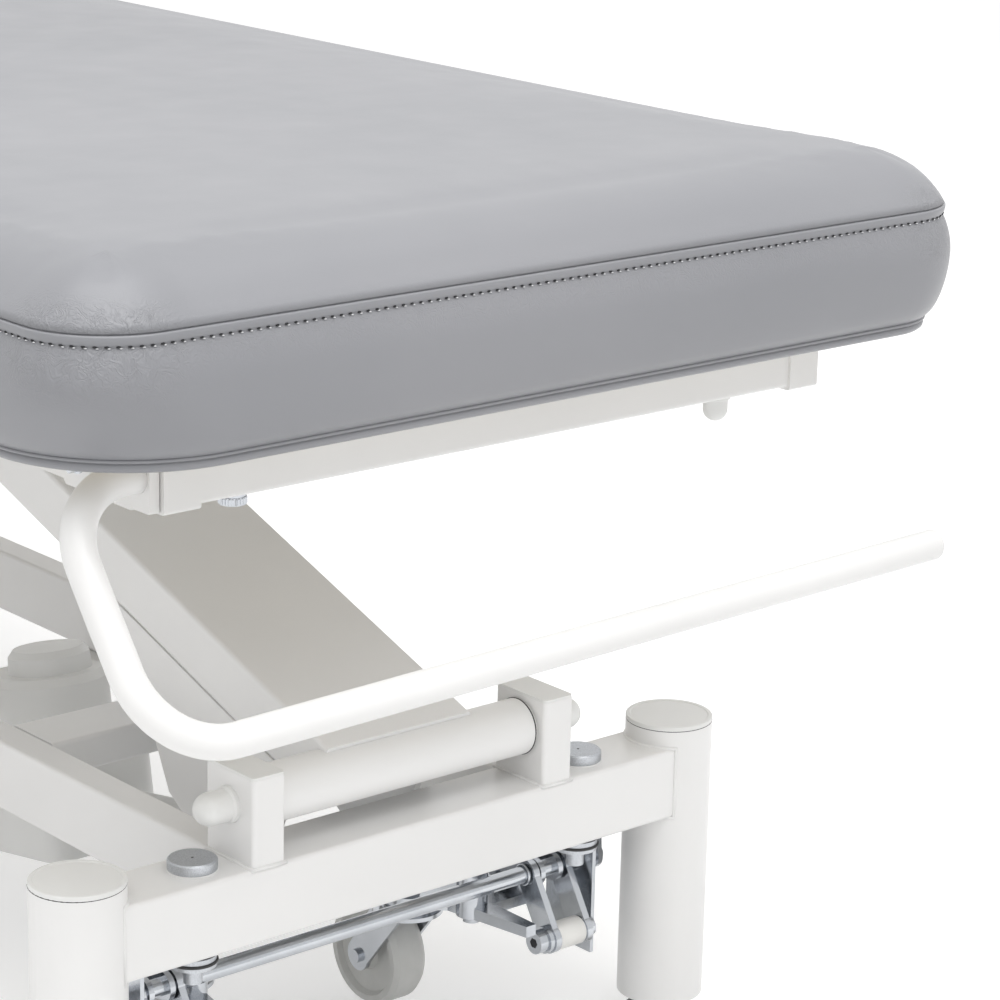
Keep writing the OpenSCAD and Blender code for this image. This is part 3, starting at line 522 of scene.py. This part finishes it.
def cordTree():
    inputs = [("Radius", "Float"), ("Sides", "Int"), ("Material", "Material")]
    tree, source, end = growTree("roundCord", inputs)
    curve = tree.nodes.new("GeometryNodeMeshToCurve")
    ring = tree.nodes.new("GeometryNodeCurvePrimitiveCircle")
    sweep = tree.nodes.new("GeometryNodeCurveToMesh")
    tree.links.new(source.outputs["Geometry"], curve.inputs[0])
    tree.links.new(curve.outputs[0], sweep.inputs["Curve"])
    tree.links.new(source.outputs["Radius"], ring.inputs["Radius"])
    tree.links.new(source.outputs["Sides"], ring.inputs["Resolution"])
    tree.links.new(ring.outputs[0], sweep.inputs["Profile Curve"])
    return finishTree(tree, source, sweep.outputs[0], end)


trees = {"stitch": stitchTree(), "cord": cordTree()}


cushion = {
    "cornerRadius": 60,
    "column": 9,  # spacing of the mesh columns along the straight sides
    "cornerSteps": 18,
    "shoulderSteps": 14,
    "shoulderTurn": 55,  # the top panel's slope where it meets the seam
    "seamIn": 6,  # the seam lies this far in from the side
    "seamDrop": 34.8,  # and this far below the pad's top
    "crown": 2.0,  # the top falls by this much towards the seam
    "crownReach": 120,
    "lap": 7.3,  # width of the lap between the rolled edge and the stitches
    "stitchIn": 6.1,
    "stitchPitch": 6.2,
    "thread": (1.9, 1.5, 0.75),  # along the seam, out of the skin, up
    "threadShift": (0.9, 0, -0.5),
    # size of the near-black bead that paints the shade in each needle hole
    "needleHoleShade": (2.6, 1.3, 1.25),
    "holeShift": (-0.4, 0, 0.25),
    "bandBulge": 68,  # the band stands out furthest this far below the top
    "weltIn": 13.3,
    "weltDrop": 110.2,
    "weltRadius": 1.15,
    "capDrop": 106,
    "bottomRadius": (104, 64),  # the corners' radius at the underside, left and right
    "tuckFrom": 60,
    "tuckTo": 108,
    "pressure": 2.5,
    "swellLimit": 2.6,  # how far the filling may push the skin out
    "frames": 14,
    "fill": 0.75,
}


def padProfile(steps, fine):
    # pairs (in from the side, below the top), from the shoulder over the seam and the band to the underside
    radius, seamIn, seamDrop, crown = (cushion[k] for k in ("cornerRadius", "seamIn", "seamDrop", "crown"))
    points = []
    most = math.radians(cushion["shoulderTurn"])
    for i in range(steps + 1):
        turn = most * i / steps
        inward = radius - (radius - seamIn) * math.sin(turn) / math.sin(most)
        down = crown + (seamDrop - crown) * (1 - math.cos(turn)) / (1 - math.cos(most))
        points.append((inward, down))
    stitch = seamDrop + cushion["lap"]
    if fine:
        # the seam's groove with the lap's rolled edge, then the lap down to the stitches
        edge = [(1.0, 0.4), (1.3, 0.7), (0.9, 1.0), (-0.2, 1.1), (-0.9, 1.5), (-1.1, 2.3)]
        lap = [(-0.9, 4.0), (-0.5, 5.6), (0.1, 6.6), (1.0, 7.3), (0.5, 8.1)]
        points += [(seamIn + inward, seamDrop + down) for inward, down in edge + lap]
    else:
        points += [(seamIn - 0.7, seamDrop + 4), (seamIn + 0.5, stitch + 0.8)]
    bandSteps, turnSteps = (14, 11) if fine else (4, 3)
    start, bulge = stitch + 0.8, cushion["bandBulge"]
    for i in range(1, bandSteps + 1):
        down = i / bandSteps
        points.append(((seamIn + 0.3) * (1 - down) ** 2, start + (bulge - start) * down))
    for i in range(1, turnSteps + 1):
        turn = math.radians(i / turnSteps * 80)
        points.append((14.5 * (1 - math.cos(turn)), bulge + (108.6 - bulge) * math.sin(turn)))
    if fine:
        # the groove that holds the welt, then the rolled lip under it
        points += [(12.4, 109.0), (14.1, 109.3), (14.8, 110.2), (14.1, 111.1)]
        for i in range(9):
            turn = math.radians(64 - i * 32)
            points.append((16.9 - 3.7 * math.cos(turn), 114.1 - 3.2 * math.sin(turn)))
    points.append((29, cushion["capDrop"]))
    return points


def padColumns(half, column, cornerSteps):
    # for each column round the pad: a point on the inner rectangle and the way out from it
    radius = cushion["cornerRadius"] * mm
    inner = half[:2] - radius
    corners = [inner * sign for sign in ((1, 1), (-1, 1), (-1, -1), (1, -1))]
    base, out = [], []
    for k in range(4):
        here, ahead = corners[k], corners[(k + 1) % 4]
        for i in range(cornerSteps + 1):
            turn = math.radians(90 * (k + i / cornerSteps))
            base.append(here)
            out.append((math.cos(turn), math.sin(turn)))
        count = round(np.linalg.norm(ahead - here) / (column * mm))
        turn = math.radians(90 * (k + 1))
        for i in range(1, count):
            base.append(here + (ahead - here) * i / count)
            out.append((math.cos(turn), math.sin(turn)))
    return np.array(base), np.array(out)


def padRing(centre, top, columns, inset, drop):
    base, out = columns
    plan = base + out * (cushion["cornerRadius"] - inset) * mm
    # the corners are tucked in towards the underside, to a larger radius
    fall = np.clip((drop - cushion["tuckFrom"]) / (cushion["tuckTo"] - cushion["tuckFrom"]), 0, 1)
    bottom = np.where(plan[:, :1] < 0, *cushion["bottomRadius"])
    growth = (bottom - cushion["cornerRadius"]) * mm * fall ** 2 * (3 - 2 * fall)
    radius = (cushion["cornerRadius"] - inset) * mm + growth
    away = abs(plan) - (abs(base).max(axis=0) - growth)
    reach = np.linalg.norm(away, axis=1, keepdims=True)
    tucked = (away.min(axis=1, keepdims=True) > 0) & (reach > radius)
    plan = np.where(tucked, plan + np.sign(plan) * away * (radius / np.maximum(reach, 1e-6) - 1), plan)
    ring = np.empty((len(base), 3))
    ring[:, :2] = centre + plan
    ring[:, 2] = top - drop * mm
    return ring


def padShell(name, centre, half, top, column, cornerSteps, profile):
    # one closed skin: rings from the shoulder to the underside, and a grid over the middle of the top
    columns = padColumns(half, column, cornerSteps)
    count = len(columns[0])
    points = np.vstack([padRing(centre, top, columns, inset, drop) for inset, drop in profile])
    faces = []
    for j in range(len(profile) - 1):
        for i in range(count):
            k = (i + 1) % count
            faces.append((j * count + i, (j + 1) * count + i, (j + 1) * count + k, j * count + k))
    faces.append(tuple(reversed(range(len(points) - count, len(points)))))
    inner = half[:2] - cushion["cornerRadius"] * mm
    nx, ny = (round(2 * side / (column * mm)) for side in inner)
    first = len(points)
    acrossX, acrossY = (np.linspace(-side, side, n + 1) for side, n in zip(inner, (nx, ny)))
    gridX, gridY = np.meshgrid(acrossX, acrossY)
    reach = cushion["crownReach"] * mm
    nearX = np.exp(-(inner[0] - abs(gridX)) / reach)
    nearY = np.exp(-(inner[1] - abs(gridY)) / reach)
    height = top - cushion["crown"] * mm * (1 - (1 - nearX) * (1 - nearY))
    grid = np.stack([gridX + centre[0], gridY + centre[1], height], -1).reshape(-1, 3)
    for j in range(ny):
        for i in range(nx):
            a = first + j * (nx + 1) + i
            faces.append((a, a + 1, a + nx + 2, a + nx + 1))
    mesh = meshFrom(name, np.vstack([points, grid]), [], faces)
    shell = bmesh.new()
    shell.from_mesh(mesh)
    bmesh.ops.remove_doubles(shell, verts=shell.verts, dist=0.02 * mm)
    shell.to_mesh(mesh)
    shell.free()
    return mesh, columns


def swell(name, centre, half, top):
    # blows a coarse copy up as cloth, held at the seam and under the band, and returns how its points moved
    profile = padProfile(5, False)
    mesh, _ = padShell(name + "Foam", centre, half, top, 30, 5, profile)
    foam = addObject(name + "Foam", mesh)
    rest = np.array([v.co for v in mesh.vertices])
    drop = (top - rest[:, 2]) / mm
    held = foam.vertex_groups.new(name="held")
    stitch = cushion["seamDrop"] + cushion["lap"]
    seam = (drop > cushion["seamDrop"] - 1) & (drop < stitch + 2) | (drop > 104)
    held.add([int(i) for i in np.flatnonzero(seam)], 1.0, "REPLACE")
    cloth = foam.modifiers.new("skin", "CLOTH")
    cloth.settings.vertex_group_mass = "held"
    cloth.settings.use_pressure = True
    cloth.settings.uniform_pressure_force = cushion["pressure"]
    cloth.settings.effector_weights.gravity = 0
    cloth.settings.tension_stiffness = 40
    cloth.settings.compression_stiffness = 40
    cloth.settings.bending_stiffness = 6
    for number in range(1, cushion["frames"] + 1):
        bpy.context.scene.frame_set(number)
    blown = foam.evaluated_get(bpy.context.evaluated_depsgraph_get()).to_mesh()
    moved = np.array([v.co for v in blown.vertices]) - rest
    size = np.linalg.norm(moved, axis=1, keepdims=True)
    limit = cushion["swellLimit"] * mm
    moved *= limit * np.tanh(size / limit) / np.maximum(size, 1e-9)
    foam.modifiers.clear()
    bpy.data.objects.remove(foam)
    bpy.context.scene.frame_set(1)
    print(name, "swelled by up to", round(float(size.max() / mm), 2), "mm")
    return rest, moved


def carryOver(points, rest, moved):
    # the coarse copy's movement at any other points, from the four nearest of its own
    tree = KDTree(len(rest))
    for i, point in enumerate(rest):
        tree.insert(point, i)
    tree.balance()
    shift = np.zeros_like(points)
    for i, point in enumerate(points):
        near = tree.find_n(point, 4)
        weights = np.array([1 / (distance + 1 * mm) ** 2 for _, _, distance in near])
        shift[i] = weights @ moved[[index for _, index, _ in near]] / weights.sum()
    return shift


def stretchOf(points, centre, half, top):
    # where the skin is pulled over foam edges: round the seam, and more at the corners
    drop = (top - points[:, 2]) / mm
    away = np.abs(points[:, :2] - centre) - (half[:2] - 75 * mm)
    corner = np.clip(away / (60 * mm), 0, 1).prod(axis=1)
    corner = np.clip(corner * 3, 0, 1)
    seam, stitch = cushion["seamDrop"], cushion["seamDrop"] + cushion["lap"]
    under = np.exp(-((drop - stitch - 6) / 9) ** 2) * (drop > stitch)
    over = np.exp(-((drop - seam + 6) / 8) ** 2) * (drop < seam)
    band = np.exp(-((drop - stitch - 12) / 18) ** 2) * (drop > stitch)
    return np.clip(0.55 * under + 0.12 * over + corner * (0.9 * over + 0.8 * band), 0, 1)


def makePad(node, body, title):
    low, high = (np.array(v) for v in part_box(node))
    centre, half, top = (low + high)[:2] / 2, (high - low) / 2, high[2]
    profile = padProfile(cushion["shoulderSteps"], True)
    mesh, columns = padShell(title, centre, half, top, cushion["column"], cushion["cornerSteps"], profile)
    points = np.array([v.co for v in mesh.vertices])
    stretch = stretchOf(points, centre, half, top)
    rest, moved = swell(title, centre, half, top)
    drop = (top - points[:, 2]) / mm
    below = drop - cushion["seamDrop"] - cushion["lap"] - 1
    free = np.clip((cushion["seamDrop"] - drop) / 8, 0, 1) + np.clip(below / 8, 0, 1) * (drop < 104)
    points += carryOver(points, rest, moved) * free[:, None]
    mesh.vertices.foreach_set("co", points.ravel())
    layer = mesh.attributes.new("stretch", "FLOAT", "POINT")
    layer.data.foreach_set("value", stretch)
    mesh.update()
    pad = addObject(title, mesh)
    mesh.materials.append(finish["vinyl"])
    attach(pad, body)
    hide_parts(node)

    def loop(inset, down):
        ring = padRing(centre, top, columns, inset, down)
        count = len(ring)
        return meshFrom("line", ring, [(i, (i + 1) % count) for i in range(count)], [])

    welt = runTree(title + "Welt", loop(cushion["weltIn"], cushion["weltDrop"]), trees["cord"],
                   {"Radius": cushion["weltRadius"] * mm, "Sides": 10, "Material": finish["vinyl"]})
    line = cushion["stitchIn"], cushion["seamDrop"] + cushion["lap"]
    thread = runTree(title + "Stitches", loop(*line), trees["stitch"],
                     {"Pitch": cushion["stitchPitch"] * mm, "Size": [n * mm for n in cushion["thread"]],
                      "Shift": [n * mm for n in cushion["threadShift"]], "Material": finish["thread"]})
    # near-black beads along the stitch line: painted shade in the needle holes
    hole = runTree(title + "NeedleHoleShades", loop(*line), trees["stitch"],
                   {"Pitch": cushion["stitchPitch"] * mm, "Size": [n * mm for n in cushion["needleHoleShade"]],
                    "Shift": [n * mm for n in cushion["holeShift"]], "Material": finish["hole"]})
    for piece in (welt, thread, hole):
        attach(piece, body)
    print(title, "made:", len(mesh.polygons), "faces")


makePad("seat_pad", "top_frame", "seatCushion")
makePad("backrest_pad", "backrest", "backCushion")


holder = {
    "radius": 10,
    "down": 126,  # from the plug's middle line to the bar's start
    "bar": 602,
    "rise": 1.2,  # degrees
    "firstBend": 46,
    "secondBend": 50,
    "wall": 2,
    "plugDepth": 9,  # the tube starts this far inside the plug
    "openDepth": 30,  # the tube's open end is hollow this far in
    "sides": 32,
}


def roundedPath(corners, bends, step):
    # points along a path whose inner corners are arcs
    path = [corners[0]]
    for before, corner, after, radius in zip(corners, corners[1:], corners[2:], bends):
        back, ahead = (before - corner).normalized(), (after - corner).normalized()
        turn = math.pi - back.angle(ahead)
        reach = radius * math.tan(turn / 2)
        centre = corner + (back + ahead).normalized() * radius / math.cos(turn / 2)
        arm = corner + back * reach - centre
        axis = (-back).cross(ahead).normalized()
        count = round(math.degrees(turn) / step)
        path += [centre + Matrix.Rotation(turn * i / count, 3, axis) @ arm for i in range(count + 1)]
    return path + [corners[-1]]


def sweepRings(path, rings, sides):
    # rings is a list of (place along the path's points, radius); returns points and faces of an open tube
    points, faces = [], []
    across = None
    for j, (place, radius) in enumerate(rings):
        i = min(max(int(place), 0), len(path) - 2)
        here = path[i].lerp(path[i + 1], place - i)
        way = (path[min(i + 1, len(path) - 1)] - path[i]).normalized()
        if place == i and 0 < i < len(path) - 1:
            way = (path[i + 1] - path[i - 1]).normalized()
        across = (Vector((0, 0, 1)) if across is None else across)
        across = (across - way * across.dot(way)).normalized()
        side = way.cross(across)
        for k in range(sides):
            turn = 2 * math.pi * k / sides
            points.append(here + (across * math.cos(turn) + side * math.sin(turn)) * radius)
        if j:
            for k in range(sides):
                n = (k + 1) % sides
                faces.append(((j - 1) * sides + k, (j - 1) * sides + n, j * sides + n, j * sides + k))
    return points, faces


def makeHolder():
    plug, tube = middle("holder_plug"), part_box("holder_tube")
    start = Vector((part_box("holder_plug")[0].x + holder["plugDepth"] * mm, plug.y, plug.z))
    radius = holder["radius"] * mm
    first = Vector((tube[0].x + radius, start.y, start.z))
    second = Vector((first.x, tube[0].y + radius, first.z - holder["down"] * mm))
    slope = math.tan(math.radians(holder["rise"]))
    last = second + Vector((holder["bar"], 0, holder["bar"] * slope)) * mm
    bends = [holder["firstBend"] * mm, holder["secondBend"] * mm]
    path = roundedPath([start, first, second, last], bends, 4)
    end = len(path) - 1
    rings = [(i, radius) for i in range(end)]
    # the tube's end: an eased rim, then the bore
    tip = (path[end] - path[end - 1]).length / mm
    bore = radius - holder["wall"] * mm
    rings += [(end - 1.2 / tip, radius), (end - 0.5 / tip, radius - 0.25 * mm),
              (end - 0.01, radius - 1.0 * mm), (end - 0.01, bore), (end - holder["openDepth"] / tip, bore)]
    points, faces = sweepRings(path, rings, holder["sides"])
    faces.append(tuple(range(len(points) - holder["sides"], len(points))))
    faces.append(tuple(reversed(range(holder["sides"]))))
    tubePiece = addObject("rollBar", meshFrom("rollBar", points, [], faces))
    tubePiece.data.materials.append(finish["powder"])
    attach(tubePiece, "roll_holder")
    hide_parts("holder_tube")
    print("roll bar made")


makeHolder()

trim = {
    "gap": 0.45,  # radius of a dark joint line
    "weld": 1.5,  # radius of a weld bead
    "postWidth": 25,
    "beamWidth": 50,
    "tubeRadius": 19,
}


def circle(centre, radius, axis, count=40):
    # a closed ring of points round an axis: 0 is X, 1 is Y, 2 is Z
    points = []
    for i in range(count):
        turn = 2 * math.pi * i / count
        offset = [math.cos(turn) * radius, math.sin(turn) * radius]
        offset.insert(axis, 0)
        points.append(Vector(centre) + Vector(offset))
    return points


def addCords(title, loops, radius, finishName, body, sides=8):
    # round beads along closed loops of points, one piece
    points, edges = [], []
    for loop in loops:
        first = len(points)
        points += loop
        edges += [(first + i, first + (i + 1) % len(loop)) for i in range(len(loop))]
    piece = runTree(title, meshFrom(title + "Line", points, edges, []), trees["cord"],
                    {"Radius": radius * mm, "Sides": sides, "Material": finish[finishName]})
    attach(piece, body)
    return piece


def baseLayout():
    # where the base's tubes stand, from the frame's own boxes
    beam, columns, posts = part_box("front_cross_beam"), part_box("columns"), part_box("pivot_posts")
    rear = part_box("rear_cross_beam")
    frontY, rearY = (beam[0].y + beam[1].y) / 2, (rear[0].y + rear[1].y) / 2
    radius = frontY - columns[0].y
    return {"frontY": frontY, "rearY": rearY, "top": beam[1].z, "low": beam[0].z, "columnR": radius,
            "columnX": columns[1].x - radius, "columnTop": columns[1].z, "postOut": posts[1].x}


def weldLoops(base):
    # beads round the columns, where the long beams meet the cross beams, and round the posts' feet
    loops = []
    half = trim["beamWidth"] / 2 * mm
    postIn, postOut = base["postOut"] - trim["postWidth"] * mm, base["postOut"]
    for side in (-1, 1):
        for y, inward in ((base["frontY"], 1), (base["rearY"], -1)):
            saddle = []
            for i in range(13):
                across = -half + 2 * half * i / 12
                reach = base["columnX"] - math.sqrt(base["columnR"] ** 2 - across ** 2)
                saddle.append((side * reach, y + across))
            loops.append([Vector((*p, base["top"])) for p in saddle] +
                         [Vector((*p, base["low"])) for p in reversed(saddle)])
            face = y + inward * half
            seat = ((postIn, base["top"]), (postOut, base["top"]),
                    (postOut, base["low"]), (postIn, base["low"]))
            loops.append([Vector((side * x, face, z)) for x, z in seat])
        for y in (base["frontY"], middle("rear_pivot_tube").y):
            foot = ((postIn, -half), (postOut, -half), (postOut, half), (postIn, half))
            loops.append([Vector((side * x, y + dy, base["top"])) for x, dy in foot])
    return loops


def tubeRings(node, body, title):
    # the dark joint lines where a pivot tube meets the flanges of its bushes
    low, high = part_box(node)
    centre = (low + high) / 2
    ends = [circle((x, centre.y, centre.z), trim["tubeRadius"] * mm, 0) for x in (low.x, high.x)]
    addCords(title, ends, trim["gap"], "hole", body)


base = baseLayout()
addCords("baseWelds", weldLoops(base), trim["weld"], "powder", "base")
corners = [(side * base["columnX"], y) for side in (-1, 1) for y in (base["frontY"], base["rearY"])]
capZ, capRadius = base["columnTop"] + 0.25 * mm, base["columnR"] - 0.3 * mm
capLines = [circle((x, y, capZ), capRadius, 2, 64) for x, y in corners]
addCords("capGaps", capLines, trim["gap"], "hole", "base", 6)
tubeRings("front_pivot_tube", "front_arm", "frontTubeGaps")
tubeRings("rear_pivot_tube", "rear_arm", "rearTubeGaps")


lift = {
    "shaftIn": 37,  # from the cross beam's middle towards the couch's
    "shaftDrop": 42,  # below the beam
    "stopX": 163.5,
    "stopIn": 12.5,
    "stopDrop": 82,
    "bushHalf": 11.8,
    "bushRadius": 9.9,
    "headOut": 29.15,  # the bolt head's face, from the middle of the levers
    "socketRadius": 3.7,
    "clips": (144.6, 182.6),
    "clipRadius": 6.9,
    "clip": 1.0,
    "discX": 159,
    "discHeight": 8,
    "seatRadius": 15.4,
    "sealRadius": 15.1,
    "seal": 1.1,
    "seals": (4, 9.5),  # below the beam
}


def addLathes(title, places, profile, axis, sides, finishName, body):
    # one piece of turned solids: profile is a list of (along the axis, radius), places are (centre, sign)
    points, faces = [], []
    for centre, sign in places:
        first = len(points)
        for along, radius in profile:
            for spot in circle(centre, radius * mm, axis, sides):
                spot[axis] += sign * along * mm
                points.append(spot)
        for j in range(len(profile) - 1):
            for i in range(sides):
                k = (i + 1) % sides
                a, b = first + j * sides, first + (j + 1) * sides
                faces.append((a + i, a + k, b + k, b + i))
        faces.append(tuple(first + i for i in range(sides))[::-1])
        faces.append(tuple(first + (len(profile) - 1) * sides + i for i in range(sides)))
    mesh = meshFrom(title, points, [], faces, sides > 12)
    shell = bmesh.new()
    shell.from_mesh(mesh)
    bmesh.ops.recalc_face_normals(shell, faces=shell.faces)
    shell.to_mesh(mesh)
    shell.free()
    mesh.materials.append(finish[finishName])
    piece = addObject(title, mesh)
    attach(piece, body)
    return piece


def dressLift(end, y, inward, body):
    # bush, clips, and a dark hexagon on each bolt head that paints the shade in its socket, on one pedal
    # shaft
    low = base["low"]
    stopY, stopZ = y + inward * lift["stopIn"] * mm, low - lift["stopDrop"] * mm
    bolt = [((side * lift["stopX"] * mm, stopY, stopZ), side) for side in (-1, 1)]
    half, radius = lift["bushHalf"], lift["bushRadius"]
    bush = [(-half, radius - 0.7), (1 - half, radius), (half - 1, radius), (half, radius - 0.7)]
    addLathes(end + "NylonBushes", bolt, bush, 0, 40, "nylon", body)
    out = lift["headOut"]
    # the sockets are thin near-black hexagons on the heads, painted shade instead of recesses
    socket = [(-out, lift["socketRadius"]), (1 - out, lift["socketRadius"])]
    addLathes(end + "BoltSocketShades", bolt, socket, 0, 6, "hole", body)
    shaft = (y + inward * lift["shaftIn"] * mm, low - lift["shaftDrop"] * mm)
    clips = [circle((side * x * mm, *shaft), lift["clipRadius"] * mm, 0, 28)
             for side in (-1, 1) for x in lift["clips"]]
    addCords(end + "ShaftClips", clips, lift["clip"], "zinc", body, 6)


def dressDiscs():
    # seals, seats and dark centre dots of the disc-headed bolts
    places = [(side * lift["discX"] * mm, y) for side in (-1, 1) for y in (base["frontY"], base["rearY"])]
    seals = [circle((x, y, base["low"] - drop * mm), lift["sealRadius"] * mm, 2)
             for x, y in places for drop in lift["seals"]]
    addCords("discSeals", seals, lift["seal"], "rubber", "base")
    seats = [circle((x, y, base["top"] + 0.35 * mm), lift["seatRadius"] * mm, 2, 48) for x, y in places]
    addCords("discSeats", seats, 0.8, "powder", "base")
    top = base["top"] + lift["discHeight"] * mm
    pips = [((x, y, top), 1) for x, y in places]
    addLathes("discPips", pips, [(-0.2, 1.0), (0.05, 0.9)], 2, 14, "hole", "base")


clampNut = {
    "collar": 8.6,  # radius of the collar above the nut
    "radius": 8.5,
    "height": 4.6,
    "teeth": 26,
    "tooth": 0.6,
}


def dressNut():
    # the knurled rim of the clamp nut under the end rail
    low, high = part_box("frame_bolts")
    centre = Vector((high.x - clampNut["collar"] * mm, middle("end_rail").y, low.z))
    teeth, height = clampNut["teeth"], clampNut["height"]
    profile = [(0.2, 0.4), (0.7, 0), (height - 0.7, 0), (height, 0.4)]  # pairs (up, in from the rim)
    points, faces = [], []
    for up, inward in profile:
        for i in range(2 * teeth):
            turn = math.pi * i / teeth
            radius = (clampNut["radius"] - inward - (i % 2) * clampNut["tooth"]) * mm
            points.append(centre + Vector((math.cos(turn) * radius, math.sin(turn) * radius, up * mm)))
    for j in range(len(profile) - 1):
        for i in range(2 * teeth):
            k = (i + 1) % (2 * teeth)
            a, b = j * 2 * teeth, (j + 1) * 2 * teeth
            faces.append((a + i, a + k, b + k, b + i))
    faces.append(tuple(range(2 * teeth))[::-1])
    faces.append(tuple(range(len(points) - 2 * teeth, len(points))))
    mesh = meshFrom("nutKnurl", points, [], faces, False)
    mesh.materials.append(finish["zinc"])
    knurl = addObject("nutKnurl", mesh)
    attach(knurl, "top_frame")


dressNut()
dressLift("front", base["frontY"], 1, "front_shaft")
dressLift("rear", base["rearY"], -1, "rear_shaft")
dressDiscs()
print("base and lift dressed")
